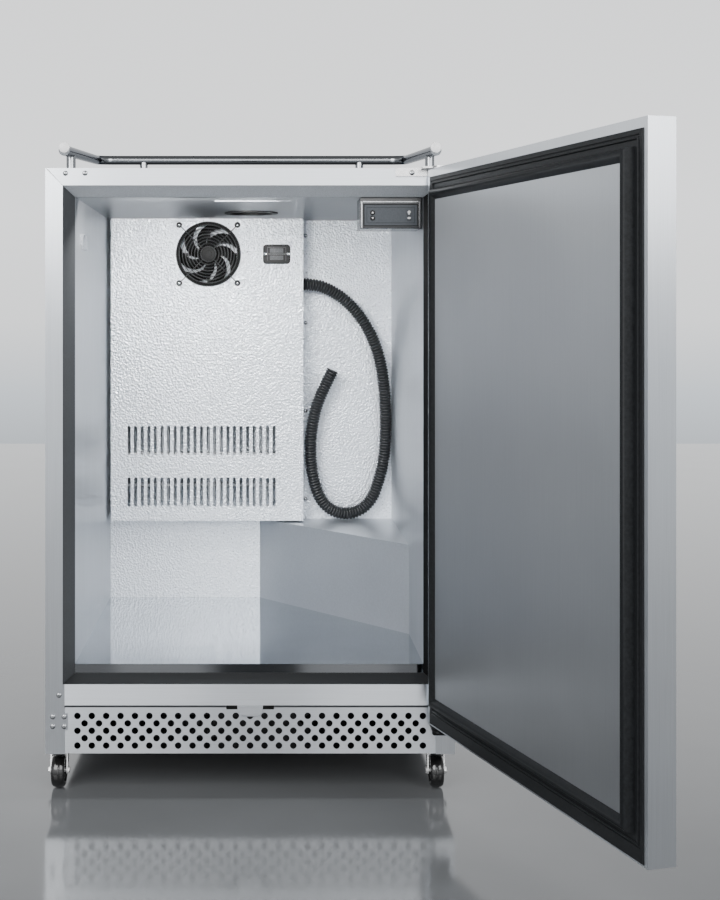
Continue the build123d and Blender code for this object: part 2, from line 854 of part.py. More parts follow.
with BuildPart() as hinge_bracket_top:
    with BuildSketch(facing(0)):
        span(hinge_top_left, hinge_top_right, hinge_top_low, body_top)
    extrude(amount=bracket)
    with BuildSketch(level(body_top)):
        span(hinge_x - 2 * hinge_arm_half, hinge_x + hinge_arm_half, hinge_y, 0)
        with Locations((hinge_x, hinge_y)):
            Circle(hinge_arm_half)
    extrude(amount=-hinge_plate)
    with BuildSketch(level(body_top)):
        with Locations((hinge_x, hinge_y)):
            Circle(pin_radius)
    extrude(amount=-hinge_plate, mode=Mode.SUBTRACT)
hinge_bracket_top.part.label = "hinge_bracket_top"
export_step(hinge_bracket_top.part, "parts/hinge_bracket_top.step")

with BuildPart() as hinge_bracket_bottom:
    with BuildSketch(facing(0)):
        span(hinge_low_left, hinge_low_right, hinge_low_z, hinge_shelf_low + hinge_shelf)
    extrude(amount=bracket)
    fillet(hinge_bracket_bottom.edges().filter_by(Axis.Y).group_by(Axis.Z)[0], 3)
    with BuildSketch(level(hinge_shelf_low)):
        span(hinge_x - hinge_arm_half, hinge_x + hinge_arm_half, hinge_y, 0)
        with Locations((hinge_x, hinge_y)):
            Circle(hinge_arm_half)
    extrude(amount=hinge_shelf)
    with BuildSketch(level(hinge_shelf_low)):
        with Locations((hinge_x, hinge_y)):
            Circle(pin_radius)
    extrude(amount=hinge_shelf, mode=Mode.SUBTRACT)
hinge_bracket_bottom.part.label = "hinge_bracket_bottom"
export_step(hinge_bracket_bottom.part, "parts/hinge_bracket_bottom.step")

with BuildPart() as hinge_pins:
    with BuildSketch(level(body_top)):
        with Locations((hinge_x, hinge_y)):
            Circle(pin_radius)
    extrude(amount=-(body_top - door_high + bush_length - 3))
    with BuildSketch(level(hinge_shelf_low)):
        with Locations((hinge_x, hinge_y)):
            Circle(pin_radius)
    extrude(amount=door_low - hinge_shelf_low + bush_length - 3)
hinge_pins.part.label = "hinge_pins"
export_step(hinge_pins.part, "parts/hinge_pins.step")

# ---------------------------------------------------------------- guard rail on the top

rail_tube = 16.0
rail_half = 272.5
rail_front_z = 946.2
rail_back_y = 450.0
rail_back_z = 980.3
rail_bend = 30.0
rail_front_y = 1.0
post_radius = 7.0
post_front_y = 81.0
post_back_x = 191.0
post_places = [(-rail_half, post_front_y), (rail_half, post_front_y)]
post_places += [(-post_back_x, rail_back_y), (post_back_x, rail_back_y)]
rail_corners = [
    (-rail_half - origin_x, rail_front_y - origin_y, rail_front_z),
    (-rail_half - origin_x, rail_back_y - origin_y, rail_back_z),
    (rail_half - origin_x, rail_back_y - origin_y, rail_back_z),
    (rail_half - origin_x, rail_front_y - origin_y, rail_front_z),
]

with BuildPart() as guard_rail:
    with BuildLine() as rail_line:
        FilletPolyline(*rail_corners, radius=rail_bend)
    rail_start = Plane(origin=rail_line.line @ 0, z_dir=rail_line.line % 0)
    with BuildSketch(rail_start):
        Circle(rail_tube / 2)
    sweep(path=rail_line.line)
    rail_ends = guard_rail.faces().filter_by(GeomType.PLANE).sort_by(Axis.Y)[:2]
    chamfer([face.outer_wire().edge() for face in rail_ends], 1.2)
guard_rail.part.label = "guard_rail"
export_step(guard_rail.part, "parts/guard_rail.step")

with BuildPart() as rail_posts:
    with BuildSketch(level(body_top)):
        with Locations(*post_places):
            Circle(post_radius)
    extrude(until=Until.NEXT, target=guard_rail.part)
rail_posts.part.label = "rail_posts"
export_step(rail_posts.part, "parts/rail_posts.step")

# ---------------------------------------------------------------- machine compartment

compressor_x = 190.0
compressor_y = 480.0
compressor_radius = 55.0
compressor_low = 74.0
compressor_high = 235.0
foot_half = 62.0
pan_top = body_base + pan_thickness

with BuildPart() as compressor:
    with BuildSketch(level(compressor_low)):
        with Locations((compressor_x, compressor_y)):
            Circle(compressor_radius)
    extrude(amount=compressor_high - compressor_low)
    fillet(compressor.edges().group_by(Axis.Z)[-1], 26)
    with BuildSketch(level(compressor_low)):
        with Locations((compressor_x, compressor_y)):
            RectangleRounded(2 * foot_half, 2 * foot_half, 10)
    extrude(amount=3)
    with BuildSketch(level(pan_top)):
        with Locations((compressor_x, compressor_y)):
            with GridLocations(2 * foot_half - 20, 2 * foot_half - 20, 2, 2):
                Circle(8)
    extrude(amount=compressor_low - pan_top)
compressor.part.label = "compressor"
export_step(compressor.part, "parts/compressor.step")

condenser_left = -245.0
condenser_fin_pitch = 9.0
condenser_fins = 22
condenser_front = 24.0
condenser_back = 60.0
condenser_high = 130.0
condenser_rows = 4

with BuildPart() as condenser_coil:
    for i in range(condenser_fins):
        with BuildSketch(beside(condenser_left + i * condenser_fin_pitch)):
            span(condenser_front, condenser_back, pan_top, condenser_high)
        extrude(amount=fin_thickness)
    with BuildSketch(beside(condenser_left - condenser_fin_pitch)):
        with Locations(((condenser_front + condenser_back) / 2, (pan_top + condenser_high) / 2)):
            with GridLocations(0, (condenser_high - pan_top) / condenser_rows, 1, condenser_rows):
                Circle(coil_tube - 1.5)
    extrude(amount=(condenser_fins + 1) * condenser_fin_pitch)
condenser_coil.part.label = "condenser_coil"
export_step(condenser_coil.part, "parts/condenser_coil.step")

blower_x = 110.0
blower_z = 106.0
blower_y = 70.0
blower_tip = 38.0
blower_hub = 12.0
blower_depth = 10.0
blower_blades = 5
motor_gap = 2.0
motor_length = 45.0
motor_can = 18.0

with BuildPart() as condenser_fan_motor:
    with BuildSketch(facing(blower_y + blower_depth + motor_gap)):
        with Locations((blower_x, blower_z)):
            Circle(motor_can)
    extrude(amount=-motor_length)
    with BuildSketch(facing(blower_y + blower_depth + motor_gap + motor_length / 2)):
        span(blower_x - motor_can, blower_x + motor_can, pan_top, blower_z)
    extrude(amount=-sheet * 2)
condenser_fan_motor.part.label = "condenser_fan_motor"
export_step(condenser_fan_motor.part, "parts/condenser_fan_motor.step")

with BuildPart(facing(blower_y + blower_depth / 2)) as condenser_fan_blade:
    with Locations((blower_x, blower_z)):
        Cylinder(blower_hub, blower_depth)
        with PolarLocations((blower_tip + blower_hub) / 2 - 1, blower_blades):
            Box(
                blower_tip - blower_hub + 1,
                blade_chord,
                blade_thickness,
                rotation=(-blade_pitch + 6, 0, 0),
            )
condenser_fan_blade.part.label = "condenser_fan_blade"
export_step(condenser_fan_blade.part, "parts/condenser_fan_blade.step")

with BuildPart() as power_inlet:
    with BuildSketch(facing(body_depth)):
        with Locations((inlet_x, inlet_z)):
            Circle(inlet_radius)
    extrude(amount=sheet * 3)
    with BuildSketch(facing(body_depth - sheet)):
        with Locations((inlet_x, inlet_z)):
            Circle(inlet_radius + 2)
    extrude(amount=sheet)
power_inlet.part.label = "power_inlet"
export_step(power_inlet.part, "parts/power_inlet.step")

# ---------------------------------------------------------------- door

door_sheet = 1.0
return_width = 12.0
heel = -door_heel
gasket_width = 35.0
gasket_margin_x = 8.0
gasket_low = door_low + return_width
gasket_high = door_high - return_width
rib_height = 3.6
band_height = 7.8
band_inset = 17.4
bulb_outer_inset = 19.8
bulb_inner_inset = 6.6
panel_proud = 8.0
gasket_box = (heel + gasket_margin_x, door_reach - gasket_margin_x, gasket_low, gasket_high)


def inset_box(box, inset):
    """The box (x low, x high, z low, z high) drawn in by inset all round."""
    return box[0] + inset, box[1] - inset, box[2] + inset, box[3] - inset


door_box = (heel, door_reach, door_low, door_high)
panel_box = inset_box(gasket_box, gasket_width)

with BuildPart() as door_skin:
    with BuildSketch(door_facing(door_outer)):
        span(*door_box)
    extrude(amount=door_thickness)
    with BuildSketch(door_facing(door_outer - door_sheet)):
        span(*inset_box(door_box, door_sheet))
    extrude(amount=door_thickness - 2 * door_sheet, mode=Mode.SUBTRACT)
    with BuildSketch(door_facing(door_inner + door_sheet)):
        span(*inset_box(door_box, return_width))
    extrude(amount=door_sheet, mode=Mode.SUBTRACT)
    with BuildSketch(door_level(door_high)):
        Circle(bush_radius)
    extrude(amount=-(door_high - door_low), mode=Mode.SUBTRACT)
door_skin.part.label = "door_skin"
export_step(door_skin.part, "parts/door_skin.step")

with BuildPart() as door_core:
    with BuildSketch(door_facing(door_outer - door_sheet)):
        span(*inset_box(door_box, door_sheet))
    extrude(amount=door_thickness - 2 * door_sheet)
    with BuildSketch(door_facing(door_inner + door_sheet)):
        span(*inset_box(panel_box, door_sheet))
    extrude(amount=panel_proud)
    with BuildSketch(door_level(door_high)):
        Circle(bush_radius)
    extrude(amount=-bush_length, mode=Mode.SUBTRACT)
    with BuildSketch(door_level(door_low)):
        Circle(bush_radius)
    extrude(amount=bush_length, mode=Mode.SUBTRACT)
door_core.part.label = "door_core"
export_step(door_core.part, "parts/door_core.step")

with BuildPart() as door_inner_panel:
    with BuildSketch(door_facing(door_inner + door_sheet)):
        span(*inset_box(door_box, return_width))
    extrude(amount=door_sheet)
    with BuildSketch(door_facing(door_inner)):
        span(*panel_box)
    extrude(amount=panel_proud)
    with BuildSketch(door_facing(door_inner + door_sheet)):
        span(*inset_box(panel_box, door_sheet))
    extrude(amount=panel_proud, mode=Mode.SUBTRACT)
door_inner_panel.part.label = "door_inner_panel"
export_step(door_inner_panel.part, "parts/door_inner_panel.step")

with BuildPart() as door_gasket:
    with BuildSketch(door_facing(door_inner)):
        span(*gasket_box)
        span(*panel_box, mode=Mode.SUBTRACT)
    extrude(amount=rib_height)
    with BuildSketch(door_facing(door_inner - rib_height)):
        span(*inset_box(gasket_box, band_inset))
        span(*panel_box, mode=Mode.SUBTRACT)
    extrude(amount=band_height - rib_height)
    with BuildSketch(door_facing(door_inner - band_height)):
        span(*inset_box(gasket_box, bulb_outer_inset))
        span(*inset_box(panel_box, -bulb_inner_inset), mode=Mode.SUBTRACT)
    extrude(amount=gasket_height - band_height)
door_gasket.part.label = "door_gasket"
export_step(door_gasket.part, "parts/door_gasket.step")

with BuildPart() as door_bushes:
    with BuildSketch(door_level(door_high)):
        Circle(bush_radius)
        Circle(pin_radius + bush_clearance, mode=Mode.SUBTRACT)
    extrude(amount=-bush_length)
    with BuildSketch(door_level(door_low)):
        Circle(bush_radius)
        Circle(pin_radius + bush_clearance, mode=Mode.SUBTRACT)
    extrude(amount=bush_length)
door_bushes.part.label = "door_bushes"
export_step(door_bushes.part, "parts/door_bushes.step")

# ---------------------------------------------------------------- casters

caster_places = {
    "front_left": (caster_left_x, caster_front_y),
    "front_right": (caster_right_x, caster_front_y),
    "back_left": (caster_left_x, caster_back_y),
    "back_right": (caster_right_x, caster_back_y),
}
wheel_radius = wheel_diameter / 2
plate_half_width = 14.4
plate_half_depth = 19.0
plate_thickness = 2.0
cup_radius = 14.0
cup_low = 56.3
crown_low = 52.5
crown_high = 56.0
crown_radius = 15.0
kingpin_radius = 5.0
running_gap = 0.05
leg_inner = wheel_width / 2 + 1.0
leg_thickness = 2.0
axle_radius = 3.0
axle_eye = 6.0
bolt_head = 5.0
bolt_head_height = 2.5
swivel = radians(caster_swivel)


def caster_level(place, z):
    """Horizontal plane at height z about a caster's swivel axis, turned with its fork."""
    base = (place[0] - origin_x, place[1] - origin_y, z)
    return Plane(origin=base, x_dir=(cos(swivel), sin(swivel), 0))


def caster_beside(place, x):
    """Upright plane along a caster's wheel, x to the right of the swivel axis."""
    base = (place[0] - origin_x + cos(swivel) * x, place[1] - origin_y + sin(swivel) * x, 0)
    return Plane(origin=base, x_dir=(-sin(swivel), cos(swivel), 0), z_dir=(cos(swivel), sin(swivel), 0))


with BuildPart() as caster_plates:
    for place in caster_places.values():
        with BuildSketch(level(body_base)):
            with Locations(place):
                RectangleRounded(2 * plate_half_width, 2 * plate_half_depth, 4)
        extrude(amount=-plate_thickness)
        with BuildSketch(level(body_base)):
            with Locations(place):
                Circle(cup_radius)
        extrude(amount=cup_low - body_base)
        with BuildSketch(level(body_base)):
            with Locations(place):
                Circle(kingpin_radius + running_gap)
        extrude(amount=cup_low - body_base, mode=Mode.SUBTRACT)
caster_plates.part.label = "caster_plates"
export_step(caster_plates.part, "parts/caster_plates.step")

for corner, place in caster_places.items():
    with BuildPart() as caster_fork:
        with BuildSketch(caster_level(place, crown_low)):
            Circle(crown_radius)
            with Locations((0, -caster_trail / 3)):
                Rectangle(2 * (leg_inner + leg_thickness), crown_radius)
        extrude(amount=crown_high - crown_low)
        with BuildSketch(caster_level(place, crown_high)):
            Circle(kingpin_radius)
        extrude(amount=body_base - crown_high - 1)
        for side in (leg_inner, -leg_inner - leg_thickness):
            with BuildSketch(caster_beside(place, side)):
                with Locations((-caster_trail, wheel_radius)):
                    Circle(axle_eye)
                with Locations((-caster_trail / 3, crown_high - 1)):
                    Rectangle(crown_radius, 2)
                make_hull()
            extrude(amount=leg_thickness)
        with BuildSketch(caster_beside(place, -leg_inner - leg_thickness)):
            with Locations((-caster_trail, wheel_radius)):
                Circle(axle_radius)
        extrude(amount=2 * (leg_inner + leg_thickness), mode=Mode.SUBTRACT)
    caster_fork.part.label = f"caster_fork_{corner}"
    export_step(caster_fork.part, f"parts/caster_fork_{corner}.step")

    with BuildPart() as caster_axle:
        with BuildSketch(caster_beside(place, -leg_inner - leg_thickness)):
            with Locations((-caster_trail, wheel_radius)):
                Circle(axle_radius)
        extrude(amount=2 * (leg_inner + leg_thickness))
        for side in (leg_inner + leg_thickness, -leg_inner - leg_thickness - bolt_head_height):
            with BuildSketch(caster_beside(place, side)):
                with Locations((-caster_trail, wheel_radius)):
                    RegularPolygon(bolt_head, 6)
            extrude(amount=bolt_head_height)
    caster_axle.part.label = f"caster_axle_{corner}"
    export_step(caster_axle.part, f"parts/caster_axle_{corner}.step")

    with BuildPart() as caster_wheel:
        with BuildSketch(caster_beside(place, -wheel_width / 2)):
            with Locations((-caster_trail, wheel_radius)):
                Circle(wheel_radius)
        extrude(amount=wheel_width)
        fillet(caster_wheel.edges().filter_by(GeomType.CIRCLE), 5)
        for side, inwards in ((wheel_width / 2, -1), (-wheel_width / 2, 1)):
            with BuildSketch(caster_beside(place, side)):
                with Locations((-caster_trail, wheel_radius)):
                    Circle(wheel_radius - 8)
                    Circle(axle_eye, mode=Mode.SUBTRACT)
            extrude(amount=inwards * 4, mode=Mode.SUBTRACT)
        with BuildSketch(caster_beside(place, -wheel_width / 2)):
            with Locations((-caster_trail, wheel_radius)):
                Circle(axle_radius + running_gap)
        extrude(amount=wheel_width, mode=Mode.SUBTRACT)
    caster_wheel.part.label = f"caster_wheel_{corner}"
    export_step(caster_wheel.part, f"parts/caster_wheel_{corner}.step")

print("origin in the cabinet frame", round(origin_x, 2), round(origin_y, 2))
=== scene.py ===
"""Looks for the undercounter refrigerator: materials and fine pieces around the CAD frame."""

import json
from math import cos, hypot, pi, radians, sin, tau

import bmesh
import bpy
from mathutils import Matrix, Vector


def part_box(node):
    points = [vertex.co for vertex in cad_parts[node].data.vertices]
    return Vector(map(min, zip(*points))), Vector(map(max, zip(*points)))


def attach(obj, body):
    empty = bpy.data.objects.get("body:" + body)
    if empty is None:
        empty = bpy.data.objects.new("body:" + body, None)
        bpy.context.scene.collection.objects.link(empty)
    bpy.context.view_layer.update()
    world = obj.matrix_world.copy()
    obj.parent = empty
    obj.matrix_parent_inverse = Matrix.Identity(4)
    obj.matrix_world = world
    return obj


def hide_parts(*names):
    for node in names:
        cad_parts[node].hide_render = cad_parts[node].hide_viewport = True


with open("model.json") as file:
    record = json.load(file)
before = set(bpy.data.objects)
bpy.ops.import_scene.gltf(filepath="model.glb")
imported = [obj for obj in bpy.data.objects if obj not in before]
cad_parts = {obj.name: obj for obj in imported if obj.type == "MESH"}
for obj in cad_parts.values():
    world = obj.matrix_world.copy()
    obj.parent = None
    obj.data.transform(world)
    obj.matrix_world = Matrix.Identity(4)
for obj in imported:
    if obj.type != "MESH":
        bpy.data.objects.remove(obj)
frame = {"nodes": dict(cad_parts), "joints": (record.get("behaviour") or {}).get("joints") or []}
nodes = frame["nodes"]
joints = {joint["name"]: joint for joint in frame["joints"]}
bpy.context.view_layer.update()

MM = 0.001

# ---------------------------------------------------------------- places in the frame

cabinet_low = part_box("side_panel_left")[0]
cabinet_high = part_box("side_panel_right")[1]
cabinet_x = (cabinet_low[0] + cabinet_high[0]) / 2
cabinet_y = cabinet_low[1]


def at(x, y, z):
    """Millimetres from the middle of the cabinet's front flange, at the floor, to the frame."""
    return Vector((cabinet_x + x * MM, cabinet_y + y * MM, z * MM))


hinge = Vector(joints["door_swing"]["pos_m"])
door_turn = radians(-min(joints["door_swing"]["range_deg"]))
along_door = Vector((-cos(door_turn), -sin(door_turn), 0))
out_of_door = Vector((sin(door_turn), -cos(door_turn), 0))


def on_door(x, y, z):
    """Millimetres along the door from its hinge axis, outwards from it, and up, to the frame."""
    flat = hinge + along_door * x * MM + out_of_door * y * MM
    return Vector((flat[0], flat[1], z * MM))


# ---------------------------------------------------------------- camera

# Place in cabinet millimetres, lens in millimetres, and shift in widths of the sensor.
CAMERA_X = 12.0
CAMERA_DISTANCE = 2129.6
CAMERA_HEIGHT = 699.6
LENS = 58.18
SHIFT_X = 0.113
SHIFT_Y = -0.146


def make_camera():
    """A level camera square to the cabinet, shifted to take in the open door."""
    data = bpy.data.cameras.new("camera")
    data.lens = LENS
    data.sensor_width = 36
    data.shift_x = SHIFT_X
    data.shift_y = SHIFT_Y
    camera = bpy.data.objects.new("camera", data)
    camera.location = at(CAMERA_X, -CAMERA_DISTANCE, CAMERA_HEIGHT)
    camera.rotation_euler = (pi / 2, 0, 0)
    bpy.context.scene.collection.objects.link(camera)
    bpy.context.scene.camera = camera


make_camera()

# ---------------------------------------------------------------- materials

# Where the noise turns from the dark colour to the light one.
GRAIN_RANGE = (0.3, 0.7)


def set_sockets(shader, **values):
    """Sets a shader's sockets, each named with underscores for its spaces."""
    for name, value in values.items():
        shader.inputs[name.replace("_", " ")].default_value = value


def map_range(tree, source, start, end):
    """A value carried from one range to another and kept inside it."""
    scaled = tree.nodes.new("ShaderNodeMapRange")
    scaled.inputs["From Min"].default_value, scaled.inputs["From Max"].default_value = start
    scaled.inputs["To Min"].default_value, scaled.inputs["To Max"].default_value = end
    tree.links.new(source, scaled.inputs["Value"])
    return scaled.outputs["Result"]


def maths(tree, operation, first, second=None):
    """One sum on a socket and, where it takes two, another socket or a plain number."""
    made = tree.nodes.new("ShaderNodeMath")
    made.operation = operation
    tree.links.new(first, made.inputs[0])
    if isinstance(second, float):
        made.inputs[1].default_value = second
    elif second is not None:
        tree.links.new(second, made.inputs[1])
    return made.outputs[0]


def grained(
    name,
    dark,
    light,
    metallic=0.0,
    roughness=(0.4, 0.5),
    scale=(400, 400, 400),
    bump=0.1,
    depth=0.1,
    detail=3.0,
    cells=False,
    blotch=0.0,
    **sockets,
):
    """A material whose colour, roughness and relief follow one noise, at scale per metre."""
    made = bpy.data.materials.new(name)
    made.use_nodes = True
    tree = made.node_tree
    shader = tree.nodes["Principled BSDF"]
    set_sockets(shader, Metallic=metallic, **sockets)
    place = tree.nodes.new("ShaderNodeTexCoord")
    stretch = tree.nodes.new("ShaderNodeMapping")
    stretch.inputs["Scale"].default_value = scale
    tree.links.new(place.outputs["Object"], stretch.inputs["Vector"])
    grain = tree.nodes.new("ShaderNodeTexNoise")
    grain.inputs["Scale"].default_value = 1
    grain.inputs["Detail"].default_value = detail
    tree.links.new(stretch.outputs["Vector"], grain.inputs["Vector"])
    height = grain.outputs["Fac"]
    if cells:
        voronoi = tree.nodes.new("ShaderNodeTexVoronoi")
        voronoi.feature = "SMOOTH_F1"
        voronoi.inputs["Scale"].default_value = 1
        voronoi.inputs["Smoothness"].default_value = 0.6
        wobble = tree.nodes.new("ShaderNodeVectorMath")
        wobble.operation = "ADD"
        tree.links.new(stretch.outputs["Vector"], wobble.inputs[0])
        tree.links.new(grain.outputs["Color"], wobble.inputs[1])
        tree.links.new(wobble.outputs["Vector"], voronoi.inputs["Vector"])
        height = voronoi.outputs["Distance"]
    ramp = tree.nodes.new("ShaderNodeValToRGB")
    for stop, position, colour in zip(ramp.color_ramp.elements, GRAIN_RANGE, (dark, light)):
        stop.position = position
        stop.color = (*colour, 1)
    tint = grain.outputs["Fac"]
    if blotch:
        broad = tree.nodes.new("ShaderNodeTexNoise")
        broad.inputs["Scale"].default_value = blotch
        broad.inputs["Detail"].default_value = 2
        tree.links.new(place.outputs["Object"], broad.inputs["Vector"])
        both = maths(tree, "ADD", grain.outputs["Fac"], broad.outputs["Fac"])
        tint = maths(tree, "MULTIPLY", both, 0.5)
    tree.links.new(tint, ramp.inputs["Fac"])
    tree.links.new(ramp.outputs["Color"], shader.inputs["Base Color"])
    tree.links.new(map_range(tree, tint, (0, 1), roughness), shader.inputs["Roughness"])
    relief = tree.nodes.new("ShaderNodeBump")
    relief.inputs["Strength"].default_value = bump
    relief.inputs["Distance"].default_value = depth * MM
    tree.links.new(height, relief.inputs["Height"])
    tree.links.new(relief.outputs["Normal"], shader.inputs["Normal"])
    return made


def paint_light_by_facing(made, axis, start, end, low, high):
    """Paints light and shade into a colour: scales it from low to high as a face's lean along an
    axis goes from start to end.
    """
    tree = made.node_tree
    base = tree.nodes["Principled BSDF"].inputs["Base Color"]
    colour = base.links[0].from_socket
    facing = tree.nodes.new("ShaderNodeNewGeometry")
    split = tree.nodes.new("ShaderNodeSeparateXYZ")
    tree.links.new(facing.outputs["True Normal"], split.inputs[0])
    share = map_range(tree, split.outputs[axis], (start, end), (low, high))
    scaled = tree.nodes.new("ShaderNodeVectorMath")
    scaled.operation = "SCALE"
    tree.links.new(colour, scaled.inputs[0])
    tree.links.new(share, scaled.inputs["Scale"])
    tree.links.new(scaled.outputs["Vector"], base)


def grey(value, blue=0.0):
    """A grey of that brightness, a little bluer where asked."""
    return (value * (1 - blue), value * (1 - blue / 3), value * (1 + blue / 2))


def brushed(name, dark, light, direction, roughness=(0.26, 0.36), **more):
    """Brushed stainless steel with its lines along x, y or z."""
    fine, lengthwise = 1400, 9
    scale = [fine, fine, fine]
    scale["xyz".index(direction)] = lengthwise
    made = grained(
        name,
        grey(dark, 0.06),
        grey(light, 0.06),
        metallic=1.0,
        roughness=roughness,
        scale=scale,
        bump=0.12,
        depth=0.03,
        detail=4.0,
        blotch=5.0,
        Anisotropic=0.8,
        **more,
    )
    tree = made.node_tree
    lines = tree.nodes.new("ShaderNodeTangent")
    lines.direction_type = "RADIAL"
    lines.axis = direction.upper()
    tree.links.new(lines.outputs["Tangent"], tree.nodes["Principled BSDF"].inputs["Tangent"])
    return made


upright_steel = brushed("upright_brushed_steel", 0.58, 0.70, "z")
# Brushed along x, and lighter than the other brushed steels: painted light on the top panel and the
# sill.
level_steel = brushed("level_brushed_steel", 0.80, 0.92, "x")
kick_steel = brushed("kickplate_brushed_steel", 0.62, 0.74, "x")
door_steel = brushed("door_brushed_steel", 0.58, 0.70, "z")
inner_steel = brushed("door_panel_steel", 0.37, 0.43, "z", roughness=(0.4, 0.5))
polished_tray = grained(
    "polished_tray", grey(0.60, 0.06), grey(0.70, 0.06), 1.0, (0.04, 0.09), (14, 14, 14), 0.04,
    0.3, blotch=3.0,
)
# Painted shade: faces turned towards the front, such as the tray's front lip, are darkened to 0.3
# of their colour.
paint_light_by_facing(polished_tray, "Y", -0.9, -0.5, 0.3, 1.0)
stucco = grained(
    "stucco_aluminium", grey(0.84, 0.09), grey(0.97, 0.07), 0.58, (0.24, 0.34), (290, 290, 290),
    1.0, 1.4, cells=True,
)
liner_smooth = grained(
    "smooth_aluminium", grey(0.39, 0.07), grey(0.50, 0.07), 0.85, (0.28, 0.4), (40, 40, 8), 0.06,
    0.3, blotch=4.0,
)
ceiling_sheet = grained(
    "ceiling_sheet", grey(0.12, 0.08), grey(0.17, 0.08), 0.85, (0.3, 0.4), (30, 30, 30), 0.05, 0.2,
    blotch=4.0,
)
step_sheet = grained(
    "step_sheet", grey(0.53, 0.07), grey(0.63, 0.07), 0.8, (0.3, 0.4), (300, 300, 300), 0.5,
    0.35, blotch=6.0,
)
galvanised = grained(
    "galvanised", grey(0.42), grey(0.54), 0.9, (0.35, 0.5), (110, 110, 110), 0.05, 0.2, cells=True
)
throat_plastic = grained(
    "throat_plastic", grey(0.05, 0.08), grey(0.07, 0.08), 0.0, (0.4, 0.5), (700, 700, 700), 0.06,
    0.08, Specular_IOR_Level=0.2,
)
# Painted light and shade: faces turned down, on the top strip, are lit up to 9.5 times their
# colour; faces turned up, on the bottom strip, are darkened to 0.3; faces turned to -x, on the
# right strip, are darkened nearly to black.
paint_light_by_facing(throat_plastic, "Z", -0.6, -0.1, 9.5, 1.0)
paint_light_by_facing(throat_plastic, "Z", 0.1, 0.6, 1.0, 0.3)
paint_light_by_facing(throat_plastic, "X", -0.7, -0.3, 0.04, 1.0)
black_plastic = grained(
    "black_plastic", grey(0.008), grey(0.016), 0.0, (0.42, 0.52), (900, 900, 900), 0.1, 0.1,
    Specular_IOR_Level=0.25,
)
fan_black = grained(
    "fan_black", grey(0.006), grey(0.012), 0.0, (0.4, 0.5), (700, 700, 700), 0.05, 0.06,
    Specular_IOR_Level=0.14,
)
guard_wire = grained(
    "guard_wire", grey(0.02, 0.08), grey(0.035, 0.08), 0.0, (0.26, 0.34), (500, 500, 500), 0.03,
    0.04, Specular_IOR_Level=0.3,
)
screw_steel = grained(
    "screw_steel", grey(0.3, 0.04), grey(0.42, 0.04), 1.0, (0.14, 0.22), (300, 300, 300), 0.04,
    0.04,
)
control_plastic = grained(
    "control_plastic", grey(0.03, 0.08), grey(0.045, 0.08), 0.0, (0.2, 0.3), (900, 900, 900), 0.05,
    0.05, Coat_Weight=0.3,
)
control_film = grained(
    "control_film", grey(0.05, 0.2), grey(0.065, 0.2), 0.0, (0.3, 0.36), (500, 500, 500), 0.03,
    0.05, Specular_IOR_Level=0.28,
)
gasket_rubber = grained(
    "gasket_rubber", grey(0.009, 0.12), grey(0.017, 0.12), 0.0, (0.42, 0.52), (300, 300, 300), 0.08,
    0.15, Specular_IOR_Level=0.12,
)
hose_rubber = grained(
    "hose_rubber", grey(0.019, 0.1), grey(0.03, 0.1), 0.0, (0.28, 0.36), (500, 500, 500), 0.1,
    0.1, Specular_IOR_Level=0.5,
)
tyre_rubber = grained(
    "tyre_rubber", grey(0.006), grey(0.014), 0.0, (0.14, 0.26), (120, 120, 120), 0.04, 0.2,
    Coat_Weight=0.5,
)
chrome = grained(
    "chrome", grey(0.68, 0.03), grey(0.78, 0.03), 1.0, (0.05, 0.1), (30, 30, 30), 0.02, 0.1,
    blotch=12.0,
)
# A darker copy of the chrome: painted shade that stands in for dark surroundings in its
# reflections.
rail_chrome = grained(
    "rail_chrome", grey(0.33, 0.05), grey(0.39, 0.05), 1.0, (0.12, 0.18), (300, 300, 300), 0.0,
    0.03, Specular_Tint=(0.22, 0.23, 0.25, 1),
)
# Painted shade: faces turned down, on the rail and its posts, are darkened to 0.25 of their colour.
paint_light_by_facing(rail_chrome, "Z", -0.9, 0.2, 0.25, 1.0)
satin_chrome = grained(
    "satin_chrome", grey(0.4, 0.04), grey(0.52, 0.04), 1.0, (0.16, 0.24), (300, 300, 300),
    0.05, 0.05,
)
zinc = grained("zinc", grey(0.5), grey(0.62), 1.0, (0.22, 0.32), (200, 200, 200), 0.05, 0.1)
cap_white = grained(
    "white_cap", grey(0.78), grey(0.85), 0.0, (0.2, 0.3), (300, 300, 300), 0.04, 0.05
)
caster_zinc = grained(
    "caster_zinc", grey(0.78), grey(0.88), 0.6, (0.22, 0.32), (200, 200, 200), 0.04, 0.05
)
fin_metal = grained(
    "fin_aluminium", grey(0.6, 0.05), grey(0.75, 0.05), 0.5, (0.4, 0.55), (200, 200, 200),
    0.05, 0.1,
)
# Black machine paint, made near-black and navy as well, so that what shows through the kickplate's
# holes is painted shade.
machine_paint_and_shade = grained(
    "machine_paint_and_shade", grey(0.004, 0.1), grey(0.008, 0.1), 0.0, (0.4, 0.5), (200, 200, 200), 0.08,
    0.2, Specular_IOR_Level=0.15,
)
sensor_plastic = grained(
    "sensor_plastic", grey(0.05, 0.06), grey(0.08, 0.06), 0.2, (0.3, 0.4), (800, 800, 800), 0.04,
    0.05, Specular_IOR_Level=0.3,
)
trim_grey = grained(
    "control_trim", grey(0.01, 0.05), grey(0.016, 0.05), 0.0, (0.34, 0.42), (600, 600, 600), 0.03,
    0.04, Specular_IOR_Level=0.15,
)
mark_white = grained(
    "mark_white", grey(0.6), grey(0.7), 0.0, (0.4, 0.5), (800, 800, 800), 0.02, 0.02
)
bush_white = grained(
    "bush_plastic", grey(0.6), grey(0.7), 0.0, (0.3, 0.4), (600, 600, 600), 0.05, 0.05
)

# ---------------------------------------------------------------- mesh building


